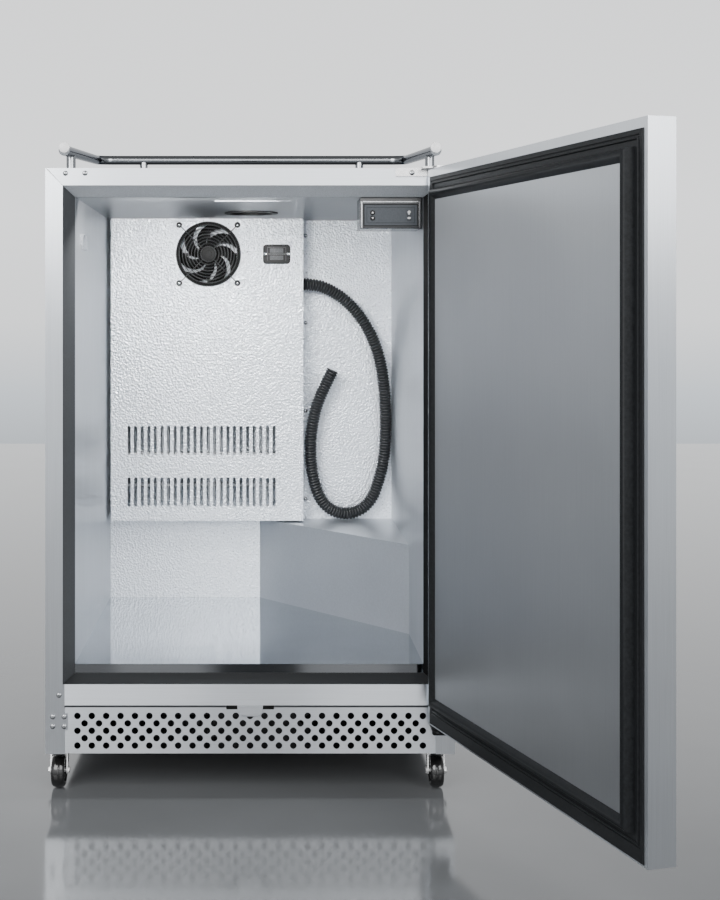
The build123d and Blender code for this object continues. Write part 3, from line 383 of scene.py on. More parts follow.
def skin(mesh, rings, closed_ring=True, closed_path=False, caps=False):
    """Adds faces between successive rings of points to a bmesh."""
    made = [[mesh.verts.new(point) for point in ring] for ring in rings]
    around = len(rings[0])
    last = len(made) if closed_path else len(made) - 1
    for i in range(last):
        ring, following = made[i], made[(i + 1) % len(made)]
        for j in range(around if closed_ring else around - 1):
            k = (j + 1) % around
            mesh.faces.new((ring[j], ring[k], following[k], following[j]))
    if caps:
        mesh.faces.new(made[0])
        mesh.faces.new(made[-1])


def across(axis):
    """Two unit vectors square to an axis and to each other."""
    first = axis.orthogonal().normalized()
    return first, axis.cross(first).normalized()


def lathe(mesh, profile, origin, axis, steps=40):
    """Turns a profile of (radius, height) points in millimetres about an axis."""
    axis = axis.normalized()
    u, v = across(axis)
    rings = []
    for i in range(steps):
        turn = tau * i / steps
        spoke = u * cos(turn) + v * sin(turn)
        rings.append([origin + spoke * r * MM + axis * h * MM for r, h in profile])
    skin(mesh, rings, closed_ring=False, closed_path=True)


def circle(centre, u, v, radius, steps):
    """Points round a circle of that radius in millimetres, from u towards v."""
    return [
        centre + (u * cos(tau * i / steps) + v * sin(tau * i / steps)) * radius * MM
        for i in range(steps)
    ]


def sides_along(points, closed=False, side=None):
    """At each point of a line, two unit vectors square to it that turn as little as they can."""
    count = len(points)
    made = []
    for i, point in enumerate(points):
        before = points[i - 1] if closed or i else point
        after = points[(i + 1) % count] if closed or i + 1 < count else point
        tangent = (after - before).normalized()
        if side is None:
            side = tangent.orthogonal().normalized()
        side = (side - tangent * side.dot(tangent)).normalized()
        made.append((side, tangent.cross(side)))
    return made


def wire(mesh, points, radius, sides=10, closed=False):
    """A round wire of that radius in millimetres along points."""
    pairs = sides_along(points, closed)
    rings = [circle(point, u, v, radius, sides) for point, (u, v) in zip(points, pairs)]
    skin(mesh, rings, closed_path=closed, caps=not closed)


def mid_face(low, high, y):
    """The middle of a box, across and up, at a depth y."""
    return Vector(((low[0] + high[0]) / 2, y, (low[2] + high[2]) / 2))


def piece(name, mesh, body, material, sharp=35):
    """Turns a bmesh into a named piece that rides on a body."""
    bmesh.ops.remove_doubles(mesh, verts=mesh.verts, dist=1e-6)
    bmesh.ops.recalc_face_normals(mesh, faces=mesh.faces)
    data = bpy.data.meshes.new(name)
    mesh.to_mesh(data)
    mesh.free()
    for polygon in data.polygons:
        polygon.use_smooth = True
    data.set_sharp_from_angle(angle=radians(sharp))
    data.materials.append(material)
    made = bpy.data.objects.new(name, data)
    bpy.context.scene.collection.objects.link(made)
    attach(made, body)
    return made


# ---------------------------------------------------------------- drain hose

HOSE_DIAMETER = 23.0
# From the gland, down beside the right wall, round its bend on the step and up to the open end.
HOSE_ROUTE = [
    (94.0, 521.0, 762.0),
    (117.0, 521.0, 762.0),
    (145.0, 521.5, 751.0),
    (171.0, 522.0, 733.0),
    (194.0, 523.0, 709.0),
    (212.5, 524.0, 681.0),
    (226.5, 525.0, 650.0),
    (235.5, 525.5, 617.0),
    (241.0, 526.0, 582.0),
    (243.5, 526.0, 546.0),
    (244.5, 526.0, 510.0),
    (243.5, 526.0, 474.0),
    (240.5, 526.0, 439.0),
    (232.0, 525.5, 405.0),
    (220.5, 525.0, 372.0),
    (200.0, 524.5, 350.5),
    (171.5, 524.0, 342.8),
    (143.0, 523.0, 350.5),
    (123.5, 522.0, 372.0),
    (113.0, 521.0, 405.0),
    (107.5, 520.0, 439.0),
    (107.0, 519.0, 473.0),
    (110.5, 518.0, 508.0),
    (118.0, 517.0, 542.0),
    (132.0, 516.0, 575.0),
    (147.5, 515.0, 606.0),
]
RIB_PITCH = 5.2
RIB_DEPTH = 2.3
RIB_SAMPLES = 6
HOSE_SIDES = 28
HOSE_BORE = 8.6
RIB_FLATNESS = 0.6
# Steps back from the open end at which the rings of its bore stand.
BORE_STEPS = (0, 4, 40)


def spline_points(name, route):
    """The line of a smooth NURBS spline that has the route's points as its control points."""
    curve = bpy.data.curves.new(name, "CURVE")
    curve.dimensions = "3D"
    spline = curve.splines.new("NURBS")
    spline.points.add(len(route) - 1)
    for target, point in zip(spline.points, route):
        target.co = (*point, 1)
    spline.order_u = 3
    spline.use_endpoint_u = True
    spline.resolution_u = 24
    holder = bpy.data.objects.new(name, curve)
    bpy.context.scene.collection.objects.link(holder)
    line = bpy.data.meshes.new_from_object(holder)
    points = [vertex.co.copy() for vertex in line.vertices]
    bpy.data.objects.remove(holder)
    return points


def even_points(points, spacing):
    """Points a set distance apart along a line."""
    made, left = [points[0].copy()], spacing
    for start, end in zip(points, points[1:]):
        length = (end - start).length
        while left <= length:
            made.append(start.lerp(end, left / length))
            left += spacing
        left -= length
    return made


def make_hose():
    """The ribbed outside of the hose, turned in at its open end to show the bore."""
    line = spline_points("hose_line", [at(*point) for point in HOSE_ROUTE])
    points = even_points(line, RIB_PITCH / RIB_SAMPLES * MM)
    sides = sides_along(points, side=Vector((0, 1, 0)))

    def ring(i, radius):
        return circle(points[i], *sides[i], radius, HOSE_SIDES)

    rings = []
    for i in range(len(points)):
        wave = (0.5 - 0.5 * cos(tau * (i % RIB_SAMPLES) / RIB_SAMPLES)) ** RIB_FLATNESS
        rings.append(ring(i, HOSE_DIAMETER / 2 - RIB_DEPTH * (1 - wave)))
    for back in BORE_STEPS:
        rings.append(ring(len(points) - 1 - back, HOSE_BORE))
    mesh = bmesh.new()
    skin(mesh, rings)
    mesh.faces.new([mesh.verts.new(point) for point in rings[-1]])
    hose = piece("corrugated_drain_hose", mesh, "cabinet", hose_rubber, sharp=70)
    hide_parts("drain_hose")


make_hose()

# ---------------------------------------------------------------- door gasket

# Across the gasket from its outer edge inwards, and up from the door's inner face.
GASKET_PROFILE = [
    (0, 0), (0, 1.0), (0.6, 1.6), (5.8, 1.7), (6.3, 1.2), (6.5, 0.5), (8.2, 0.5), (8.5, 1.9),
    (9.2, 2.5), (10.5, 2.5), (11.2, 1.9), (11.5, 0.5), (18.2, 0.5), (18.5, 2.6), (19.3, 6.6),
    (20.8, 10.6), (23.0, 13.0), (25.4, 13.7), (27.6, 13.0), (30.0, 11.2), (32.6, 9.3),
    (34.3, 8.0), (35.0, 6.6), (35.0, 0),
]
GASKET_MARGIN = 8.0
DOOR_RETURN = 12.0
# How much further down the flange of the gasket reaches along its foot.
FOOT_FLANGE = 9.5


def door_extent():
    """The door's heel, latch edge, inner face, foot and head, in millimetres from its hinge."""
    corners = [vertex.co - hinge for vertex in nodes["door_skin"].data.vertices]
    lengths = [corner.dot(along_door) / MM for corner in corners]
    depths = [corner.dot(out_of_door) / MM for corner in corners]
    low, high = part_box("door_skin")
    return min(lengths), max(lengths), min(depths), low[2] / MM, high[2] / MM


heel, reach, door_inner, door_foot, door_head = door_extent()


def make_gasket():
    """The gasket's section carried round the door's inner face, mitred at its corners."""
    left, right = heel + GASKET_MARGIN, reach - GASKET_MARGIN
    foot, head = door_foot + DOOR_RETURN, door_head - DOOR_RETURN
    mesh = bmesh.new()
    loops = []
    for inwards, up in GASKET_PROFILE:
        y = door_inner - up
        low = foot + inwards - (FOOT_FLANGE if inwards < 1 else 0)
        loops.append([
            on_door(left + inwards, y, low),
            on_door(right - inwards, y, low),
            on_door(right - inwards, y, head - inwards),
            on_door(left + inwards, y, head - inwards),
        ])
    skin(mesh, loops, closed_path=True)
    seal = piece("ribbed_door_gasket", mesh, "door", gasket_rubber, sharp=40)
    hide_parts("door_gasket")


make_gasket()

# ---------------------------------------------------------------- evaporator fan

# Radii, pitches, wire and heights above the cover of the guard, in millimetres.
GUARD_RADIUS = 58.8
FAN_RINGS = 9
RING_PITCH = 5.5
FAN_WIRE = 0.9
EYELET = 4.6
RING_STEPS = 72
RING_LIFT = 2.7
LEG_LIFT = 1.1
EYELET_LIFT = 1.0
EYELET_STEPS = 24
HALF_PITCH = 52.4
# Radius and height of each point, as in every section below that is turned on a lathe.
FAN_RIM = [(51.8, 0), (51.8, 1.2), (58.0, 1.2), (58.6, 0.8), (58.6, 0), (51.8, 0)]
GUARD_SCREW = [(0, 2.9), (1.6, 2.75), (2.9, 2.1), (3.7, 1.0), (3.9, 0.0), (0, 0)]
SCREW_LIFT = 0.2
FORWARD = Vector((0, -1, 0))
RIGHT = Vector((1, 0, 0))
UP = Vector((0, 0, 1))


def fan_point(centre, radius, turn, forward):
    """A point about a fan's centre: radius and forward in millimetres."""
    spoke = RIGHT * cos(turn) + UP * sin(turn)
    return centre + spoke * radius * MM + FORWARD * forward * MM


def make_fan_guard():
    """Wire rings on four legs that end in eyelets, each with its screw, over a plain rim."""
    low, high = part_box("fan_guard")
    centre = mid_face(low, high, high[1])
    raised = centre + FORWARD * RING_LIFT * MM
    radii = [GUARD_RADIUS - FAN_WIRE - ring * RING_PITCH for ring in range(FAN_RINGS)]
    mesh = bmesh.new()
    for radius in radii:
        wire(mesh, circle(raised, RIGHT, UP, radius, RING_STEPS), FAN_WIRE, closed=True)
    inner = radii[-1]
    corner = hypot(HALF_PITCH, HALF_PITCH)
    turns = [pi / 4 + quarter * pi / 2 for quarter in range(4)]
    for turn in turns:
        leg = [
            fan_point(centre, inner, turn, LEG_LIFT),
            fan_point(centre, GUARD_RADIUS - 8, turn, LEG_LIFT),
            fan_point(centre, GUARD_RADIUS + 3, turn, EYELET_LIFT),
            fan_point(centre, corner - EYELET, turn, EYELET_LIFT),
        ]
        wire(mesh, leg, FAN_WIRE)
        middle = fan_point(centre, corner, turn, EYELET_LIFT)
        wire(mesh, circle(middle, RIGHT, UP, EYELET, EYELET_STEPS), FAN_WIRE, closed=True)
    guard = piece("wire_fan_guard", mesh, "cabinet", guard_wire, sharp=60)
    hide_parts("fan_guard")
    mesh = bmesh.new()
    lathe(mesh, FAN_RIM, centre, FORWARD, RING_STEPS)
    piece("fan_rim", mesh, "cabinet", fan_black)
    mesh = bmesh.new()
    for turn in turns:
        lathe(mesh, GUARD_SCREW, fan_point(centre, corner, turn, SCREW_LIFT), FORWARD, 28)
    piece("fan_guard_screws", mesh, "cabinet", satin_chrome)


make_fan_guard()

# Radii, rise and thickness in millimetres, sweep and wrap in radians.
BLADES = 7
BLADE_ROWS = 10
BLADE_COLUMNS = 8
HUB_RADIUS = 17.5
TIP_RADIUS = 53.0
BLADE_SWEEP = 0.75
BLADE_WRAP = 0.78
BLADE_RISE = 9.0
BLADE_THICK = 1.3
BLADE_CAMBER = 1.6
# The sweep grows as this power of the radius, and the tip wraps this much less than the root.
SWEEP_POWER = 1.6
WRAP_TAPER = 0.26
# Thickness at a blade's edges as a share of its middle's, and how far back the leading edge starts.
EDGE_THICK = 0.35
EDGE_START = 0.12
HUB = [
    (0, 6.0), (6.0, 6.0), (6.6, 5.5), (13.0, 5.4), (15.6, 5.0), (17.0, 3.8), (17.5, 2.0),
    (17.5, -6.0), (0, -6.0),
]
# A dark disc behind the blades: painted shade in the fan's opening.
SHADE_DISC = [(0, 0.6), (51.0, 0.6), (51.0, 0), (0, 0)]
SHADE_DISC_INSET = 2.0


def make_impeller():
    """Swept, cambered blades on a domed hub, with a dark disc behind them that paints the shade in
    the fan's opening.
    """
    low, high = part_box("fan_impeller")
    spin = joints["evaporator_fan_spin"]["pos_m"]
    centre = Vector((spin[0], (low[1] + high[1]) / 2, spin[2]))
    mesh = bmesh.new()
    for blade in range(BLADES):
        start = tau * blade / BLADES
        rings = []
        for row in range(BLADE_ROWS + 1):
            share = row / BLADE_ROWS
            radius = HUB_RADIUS - 1 + (TIP_RADIUS - HUB_RADIUS + 1) * share
            lead = start - BLADE_SWEEP * share**SWEEP_POWER
            wrap = BLADE_WRAP * (1 - WRAP_TAPER * share)
            front, back = [], []
            for column in range(BLADE_COLUMNS + 1):
                along = column / BLADE_COLUMNS
                turn = lead + wrap * along
                rise = BLADE_RISE * (0.5 - along) + BLADE_CAMBER * sin(pi * along)
                swell = sin(pi * min(1, EDGE_START + along))
                thin = BLADE_THICK * (EDGE_THICK + (1 - EDGE_THICK) * swell)
                front.append(fan_point(centre, radius, turn, rise + thin / 2))
                back.append(fan_point(centre, radius, turn, rise - thin / 2))
            rings.append(front + back[::-1])
        skin(mesh, rings, caps=True)
    lathe(mesh, HUB, centre, FORWARD, 48)
    dark_disc = bmesh.new()
    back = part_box("fan_housing")[1][1] - SHADE_DISC_INSET * MM
    lathe(dark_disc, SHADE_DISC, Vector((centre[0], back, centre[2])), FORWARD, 48)
    piece("painted_shade_disc", dark_disc, "cabinet", ceiling_sheet)
    fan = piece("swept_fan_impeller", mesh, "evaporator_fan", fan_black)
    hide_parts("fan_impeller")


make_impeller()

# ---------------------------------------------------------------- screws

# Half length of a cross recess's arms in a head of that radius, and half their width.
RECESS_ARM = 1.9
ARM_HEAD = 3.9
RECESS_HALF = 0.42
# Size of the recess's floor as a share of its mouth's, and the floor's height in the head.
RECESS_TAPER = 0.55
RECESS_FLOOR = 0.35
DOME_STEPS = 6
DOME_EDGE = 0.12
HEAD_TURN = 40  # radians of turn per metre across, so that no two recesses line up


def loose_boxes(node):
    """The lowest and highest corner of each separate solid of a node."""
    mesh = bmesh.new()
    mesh.from_mesh(nodes[node].data)
    bmesh.ops.remove_doubles(mesh, verts=mesh.verts, dist=1e-7)
    unseen = set(mesh.verts)
    found = []
    while unseen:
        front = [unseen.pop()]
        group = []
        while front:
            vertex = front.pop()
            group.append(vertex.co.copy())
            for edge in vertex.link_edges:
                other = edge.other_vert(vertex)
                if other in unseen:
                    unseen.remove(other)
                    front.append(other)
        low = Vector([min(point[i] for point in group) for i in range(3)])
        high = Vector([max(point[i] for point in group) for i in range(3)])
        found.append((low, high))
    mesh.free()
    return sorted(found, key=lambda pair: tuple(pair[0]))


def cross_head(radius, height):
    """A pan head with a cross recess, facing forwards from the origin, as a mesh."""
    mesh = bmesh.new()
    dome = [(0, height)]
    for i in range(1, DOME_STEPS + 1):
        turn = pi / 2 * i / DOME_STEPS
        dome.append((radius * sin(turn), height * (DOME_EDGE + (1 - DOME_EDGE) * cos(turn))))
    dome += [(radius, 0), (0, 0)]
    lathe(mesh, dome, Vector(), FORWARD, 32)
    bmesh.ops.remove_doubles(mesh, verts=mesh.verts, dist=1e-7)
    bmesh.ops.recalc_face_normals(mesh, faces=mesh.faces)
    head = bpy.data.meshes.new("head")
    mesh.to_mesh(head)
    mesh.free()
    cutter = bmesh.new()
    a, b = RECESS_ARM * radius / ARM_HEAD * MM, RECESS_HALF * MM
    outline = [
        (a, -b), (a, b), (b, b), (b, a), (-b, a), (-b, b), (-a, b), (-a, -b), (-b, -b), (-b, -a),
        (b, -a), (b, -b),
    ]
    near, far = -(height + 1) * MM, -height * RECESS_FLOOR * MM
    rings = [
        [Vector((x * taper, y, z * taper)) for x, z in outline]
        for y, taper in ((near, 1), (far, RECESS_TAPER))
    ]
    skin(cutter, rings, caps=True)
    bmesh.ops.recalc_face_normals(cutter, faces=cutter.faces)
    tool = bpy.data.meshes.new("tool")
    cutter.to_mesh(tool)
    cutter.free()
    body = bpy.data.objects.new("head", head)
    knife = bpy.data.objects.new("tool", tool)
    for thing in (body, knife):
        bpy.context.scene.collection.objects.link(thing)
    cut = body.modifiers.new("cut", "BOOLEAN")
    cut.operation = "DIFFERENCE"
    cut.object = knife
    bpy.context.view_layer.update()
    graph = bpy.context.evaluated_depsgraph_get()
    done = bpy.data.meshes.new_from_object(body.evaluated_get(graph))
    bpy.data.objects.remove(body)
    bpy.data.objects.remove(knife)
    return done


def make_screws():
    """A cross-recessed head in the place and size of each of the cabinet's screws."""
    mesh = bmesh.new()
    for low, high in loose_boxes("cabinet_screws"):
        radius = (high[0] - low[0]) / 2 / MM
        height = (high[1] - low[1]) / MM
        head = cross_head(radius, height)
        turn = Matrix.Rotation(low[0] * HEAD_TURN, 4, "Y")
        head.transform(Matrix.Translation(mid_face(low, high, high[1])) @ turn)
        mesh.from_mesh(head)
    heads = piece("cross_head_screws", mesh, "cabinet", screw_steel)
    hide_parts("cabinet_screws")


make_screws()

# ---------------------------------------------------------------- lock strike

# The right half of the strike's outline, from its top to its foot.
STRIKE_HALF = [(19.0, 133.2), (18.3, 124.5), (16.6, 120.2), (14.6, 117.8), (12.4, 117.0)]
# Distance in from the outline, and depth of the face there.
STRIKE_STEPS = [(0, 1.8), (0, -0.3), (0.5, -0.9), (1.6, -1.0), (2.2, -0.4), (2.6, 0.0)]


def make_strike():
    """The strike's shallow pressing: its outline, drawn in and raised step by step."""
    outline = STRIKE_HALF + [(-x, z) for x, z in reversed(STRIKE_HALF)]
    (half, top), foot = STRIKE_HALF[0], STRIKE_HALF[-1][1]
    middle, tall = (top + foot) / 2, (top - foot) / 2
    mesh = bmesh.new()
    rings = [
        [
            at(x * (half - inset) / half, y, middle + (z - middle) * (tall - inset) / tall)
            for x, z in outline
        ]
        for inset, y in STRIKE_STEPS
    ]
    skin(mesh, rings, caps=True)
    strike = piece("pressed_lock_strike", mesh, "cabinet", kick_steel, sharp=25)
    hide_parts("lock_tab")


make_strike()

# ---------------------------------------------------------------- rear sheet and temperature sensor

# Thickness of the liner's sheet, the gap round the stuccoed sheet, and how far that stands in
# front of the rear wall and reaches into it.
LINER_SHEET = 1.2
STUCCO_GAP = 0.2
STUCCO_PROUD = 0.5
STUCCO_SUNK = 0.3
# Corners of the bezel's plate, bars and catch, about the middle of its face.
SENSOR_BARS = [
    ((-20, 1.6, -13.4), (20, 2.6, 13.4)),
    ((-17.5, -0.6, -1.0), (17.5, 1.2, 1.6)),
    ((-17.0, -0.4, -11.5), (-16.2, 1.2, 12.5)),
    ((16.2, -0.4, -11.5), (17.0, 1.2, 12.5)),
    ((-17.0, -0.4, 11.9), (17.0, 1.2, 12.7)),
    ((-3.4, -0.2, 5.6), (3.4, 1.2, 8.2)),
]
SENSOR_LOUVRES = 7
LOUVRE_PITCH = 3.6
LOUVRE_FEET = (-10.8, 3.4)
LOUVRE_WIDE = 1.0
LOUVRE_TALL = 7.4
LOUVRE_DEPTH = (0.2, 2.0)
SENSOR_SCREWS = ((-20.6, 0.4), (20.6, 0.4))
SENSOR_SCREW = [(0, 0.6), (1.2, 0.6), (1.6, 1.3), (2.9, 1.6), (3.4, 1.0), (3.5, 0), (0, 0)]


def slab(mesh, low, high):
    """A box between two corners in cabinet millimetres."""
    (x0, y0, z0), (x1, y1, z1) = low, high
    corners = [(x0, z0), (x1, z0), (x1, z1), (x0, z1)]
    skin(mesh, [[at(x, y, z) for x, z in corners] for y in (y0, y1)], caps=True)


def to_cabinet(point):
    """The reverse of at()."""
    return (point[0] - cabinet_x) / MM, (point[1] - cabinet_y) / MM, point[2] / MM


def make_rear_sheet():
    """A thin stuccoed sheet over the whole rear wall of the liner."""
    low, high = (to_cabinet(corner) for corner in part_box("liner_wrap"))
    side, back = LINER_SHEET + STUCCO_GAP, high[1] - LINER_SHEET
    near = (low[0] + side, back - STUCCO_PROUD, low[2] + STUCCO_GAP)
    far = (high[0] - side, back + STUCCO_SUNK, high[2] - STUCCO_GAP)
    mesh = bmesh.new()
    slab(mesh, near, far)
    piece("rear_wall_stucco_sheet", mesh, "cabinet", stucco)


make_rear_sheet()


def make_sensor():
    """The bezel's plate, frame and two rows of louvres, and its two screws."""
    low, high = (to_cabinet(corner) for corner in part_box("sensor_bezel"))
    middle = mid_face(low, high, low[1])
    mesh = bmesh.new()
    for near, far in SENSOR_BARS:
        slab(mesh, middle + Vector(near), middle + Vector(far))
    front, back = LOUVRE_DEPTH
    for i in range(SENSOR_LOUVRES):
        left = (i - (SENSOR_LOUVRES - 1) / 2) * LOUVRE_PITCH - LOUVRE_WIDE / 2
        for foot in LOUVRE_FEET:
            near = Vector((left, front, foot))
            far = Vector((left + LOUVRE_WIDE, back, foot + LOUVRE_TALL))
            slab(mesh, middle + near, middle + far)
    piece("sensor_louvres", mesh, "cabinet", sensor_plastic)
    mesh = bmesh.new()
    for x, z in SENSOR_SCREWS:
        lathe(mesh, SENSOR_SCREW, at(middle[0] + x, middle[1], middle[2] + z), FORWARD, 28)
    piece("sensor_screws", mesh, "cabinet", chrome)


make_sensor()

# ---------------------------------------------------------------- marks on the control buttons

MARK_PROUD = 0.25
MARK_SUNK = 0.05


def flat_mark(name, button, outline, material):
    """A thin raised mark on a button, from an outline in millimetres about its middle."""
    low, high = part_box(button)
    middle = mid_face(low, high, low[1])
    mesh = bmesh.new()
    rings = [
        [middle + RIGHT * x * MM + UP * z * MM + FORWARD * lift * MM for x, z in outline]
        for lift in (-MARK_SUNK, MARK_PROUD)
    ]
    skin(mesh, rings, caps=True)
    piece(name, mesh, button, material)


def oval(wide, tall, z=0.0, start=0.0, end=tau, steps=24):
    """The outline of an oval, or a part of it, with its middle raised by z."""
    turns = [start + (end - start) * i / steps for i in range(steps)]
    return [(wide / 2 * cos(turn), z + tall / 2 * sin(turn)) for turn in turns]


flat_mark("up_mark", "up_button", [(-1.7, -1.2), (1.7, -1.2), (0, 1.7)], mark_white)
flat_mark("down_mark", "down_button", [(-1.7, 1.2), (0, -1.7), (1.7, 1.2)], mark_white)
BULB = oval(4.4, 4.4, z=0.7, start=-pi / 3, end=4 * pi / 3) + [(-1.1, -2.9), (1.1, -2.9)]
flat_mark("light_mark", "light_button", BULB, mark_white)
flat_mark("power_mark", "power_button", oval(5.2, 3.0), mark_white)

# ---------------------------------------------------------------- trim of the control panel

# Distance in from the panel's edge, width, and how far proud of it, of each frame.
PANEL_FRAMES = ((0.4, 1.5, 0.9), (5.4, 0.5, 0.3))
# Left side of each upright rail from the panel's own sides, and the rails' width and front.
RAIL_LEFTS = (-2.9, 0.7)
RAIL_WIDE = 1.8
RAIL_PROUD = 0.5
RAIL_SUNK = 0.8
RAIL_FOOT = 1.6
RAIL_HEAD = 3.0
TOP_RAIL = (2.0, 3.4)
TOP_RAIL_PROUD = 0.4


def make_control_trim():
    """The panel's raised outer and inner frames, and the three bright rails that hold it."""
    low, high = (to_cabinet(corner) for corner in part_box("control_panel"))
    front = low[1]
    mesh = bmesh.new()
    for inset, wide, proud in PANEL_FRAMES:
        left, right = low[0] + inset, high[0] - inset
        foot, head = low[2] + inset, high[2] - inset
        slab(mesh, (left, front - proud, foot), (right, front, foot + wide))
        slab(mesh, (left, front - proud, head - wide), (right, front, head))
        slab(mesh, (left, front - proud, foot + wide), (left + wide, front, head - wide))
        slab(mesh, (right - wide, front - proud, foot + wide), (right, front, head - wide))
    piece("control_panel_frame", mesh, "cabinet", trim_grey)
    mesh = bmesh.new()
    back = front + RAIL_SUNK
    for side, offset in zip((low[0], high[0]), RAIL_LEFTS):
        left = side + offset
        foot = (left, front - RAIL_PROUD, low[2] - RAIL_FOOT)
        slab(mesh, foot, (left + RAIL_WIDE, back, high[2] + RAIL_HEAD))
    foot = (low[0], front - TOP_RAIL_PROUD, high[2] + TOP_RAIL[0])
    slab(mesh, foot, (high[0], back, high[2] + TOP_RAIL[1]))
    piece("control_panel_rails", mesh, "cabinet", screw_steel)


make_control_trim()

# ---------------------------------------------------------------- tyres, rail and rail end caps

CORNERS = ("front_left", "front_right", "back_left", "back_right")
# Radius and half width of a tyre's section, as shares of the wheel's own.
TYRE_SECTION = [
    (0.28, 0.86), (0.52, 0.86), (0.56, 0.74), (0.66, 0.74), (0.71, 0.94), (0.78, 1.0), (0.86, 0.96),
    (0.92, 0.82), (0.965, 0.58), (0.99, 0.3), (1.0, 0.0),
]


def make_tyre(corner):
    """A round tyre and hub in place of the caster's plain wheel."""
    node = "caster_wheel_" + corner
    joint = joints["roll_" + corner]
    middle = Vector(joint["pos_m"])
    axis = Vector(joint["axis"])
    points = [vertex.co - middle for vertex in nodes[node].data.vertices]
    half = max(abs(point.dot(axis)) for point in points) / MM
    radius = max((point - axis * point.dot(axis)).length for point in points) / MM
    section = [(r * radius, w * half) for r, w in TYRE_SECTION]
    section += [(r, -w) for r, w in section[-2::-1]]
    mesh = bmesh.new()
    lathe(mesh, section + section[:1], middle, axis, 64)
    tyre = piece("round_tyre_" + corner, mesh, "wheel_" + corner, tyre_rubber)
    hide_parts(node)


for corner in CORNERS:
    make_tyre(corner)

# The rail's middle line: half its width, its front and back ends and heights, and its bends.
RAIL_HALF = 272.5
RAIL_FRONT = (1.0, 946.2)
RAIL_BACK = (450.0, 980.3)
RAIL_BEND = 30.0
RAIL_RADIUS = 8.0
BEND_STEPS = 14


def make_rail():
    """The guard rail as one smooth tube, rising from its front ends to its rear run."""
    corners = [
        at(-RAIL_HALF, *RAIL_FRONT), at(-RAIL_HALF, *RAIL_BACK), at(RAIL_HALF, *RAIL_BACK),
        at(RAIL_HALF, *RAIL_FRONT),
    ]
    line = [corners[0]]
    for before, corner, after in zip(corners, corners[1:], corners[2:]):
        into, out = (corner - before).normalized(), (after - corner).normalized()
        for i in range(BEND_STEPS + 1):
            turn = pi / 2 * i / BEND_STEPS
            line.append(corner + (into * (sin(turn) - 1) + out * (1 - cos(turn))) * RAIL_BEND * MM)
    line.append(corners[-1])
    mesh = bmesh.new()
    wire(mesh, line, RAIL_RADIUS, sides=40)
    rail = piece("bent_guard_rail", mesh, "cabinet", rail_chrome)
    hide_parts("guard_rail")


make_rail()

CAP_SECTION = [(0, 1.5), (3.5, 1.4), (6.4, 1.0), (7.8, 0.4), (8.1, -0.2), (8.1, -1.5), (0, -1.5)]


def make_rail_caps():
    """A domed cap on each front end of the guard rail."""
    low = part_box("guard_rail")[0]
    points = [vertex.co for vertex in nodes["guard_rail"].data.vertices]
    front = [point for point in points if point[1] < low[1] + 0.5 * MM]
    mesh = bmesh.new()
    for side in (-1, 1):
        end = [point for point in front if (point[0] - cabinet_x) * side > 0]
        lathe(mesh, CAP_SECTION, sum(end, Vector()) / len(end), FORWARD, 36)
    piece("rail_end_caps", mesh, "cabinet", cap_white)


make_rail_caps()

# ---------------------------------------------------------------- material of each CAD node

FINISHES = {
    "side_panel_left": upright_steel,
    "side_panel_right": upright_steel,
    "top_panel": level_steel,
    "rear_panel": galvanised,
    "base_pan": machine_paint_and_shade,
    "sill_rail": level_steel,
    "kickplate": kick_steel,
    "breaker_strips": throat_plastic,
    "cabinet_foam": bush_white,
    "liner_wrap": liner_smooth,
    "liner_ceiling": ceiling_sheet,
    "floor_tray": polished_tray,
    "hump_cover": step_sheet,
    "evaporator_cover": stucco,
    "fan_housing": black_plastic,
    "evaporator_coil": fin_metal,
    "sensor_bezel": black_plastic,
    "control_box": control_plastic,
    "control_panel": control_film,
    "up_button": black_plastic,
    "down_button": black_plastic,
    "light_button": control_film,
    "power_button": control_film,
    "ceiling_plate": ceiling_sheet,
    "tower_sleeve": black_plastic,
    "wall_clip": satin_chrome,
    "hose_gland": black_plastic,
    "hinge_bracket_top": zinc,
    "hinge_bracket_bottom": machine_paint_and_shade,
    "hinge_pins": zinc,
    "rail_posts": rail_chrome,
    "compressor": machine_paint_and_shade,
    "condenser_coil": machine_paint_and_shade,
    "condenser_fan_motor": machine_paint_and_shade,
    "condenser_fan_blade": black_plastic,
    "power_inlet": black_plastic,
    "caster_plates": chrome,
    "door_skin": door_steel,
    "door_core": bush_white,
    "door_inner_panel": inner_steel,
    "door_bushes": bush_white,
}
for name, node in nodes.items():
    finish = FINISHES.get(name)
    if name.startswith(("caster_fork", "caster_axle")):
        finish = caster_zinc
    if finish:
        node.data.materials.clear()
        node.data.materials.append(finish)

# ---------------------------------------------------------------- floor and light

floor_material = grained(
    "floor", grey(0.13, 0.05), grey(0.155, 0.05), 0.0, (0.09, 0.14), (3, 3, 3), 0.0, 0.1
)
FLOOR_HALF = 6  # metres
FLOOR_DROP = 0.4


def make_floor():
    """A plain floor, a hair below the wheels."""
    mesh = bmesh.new()
    bmesh.ops.create_grid(mesh, x_segments=1, y_segments=1, size=FLOOR_HALF)
    data = bpy.data.meshes.new("floor")
    mesh.to_mesh(data)
    mesh.free()
    data.materials.append(floor_material)
    floor = bpy.data.objects.new("floor", data)
    floor.location = (0, 0, -FLOOR_DROP * MM)
    bpy.context.scene.collection.objects.link(floor)


def area_light(name, place, aim, size, power):
    """A soft rectangular lamp that the camera doesn't see."""
    data = bpy.data.lights.new(name, "AREA")
    data.shape = "RECTANGLE"
    data.size, data.size_y = size
    data.energy = power
    lamp = bpy.data.objects.new(name, data)
    lamp.location = place
    lamp.rotation_euler = (aim - place).to_track_quat("-Z", "Y").to_euler()
    lamp.visible_camera = False
    bpy.context.scene.collection.objects.link(lamp)


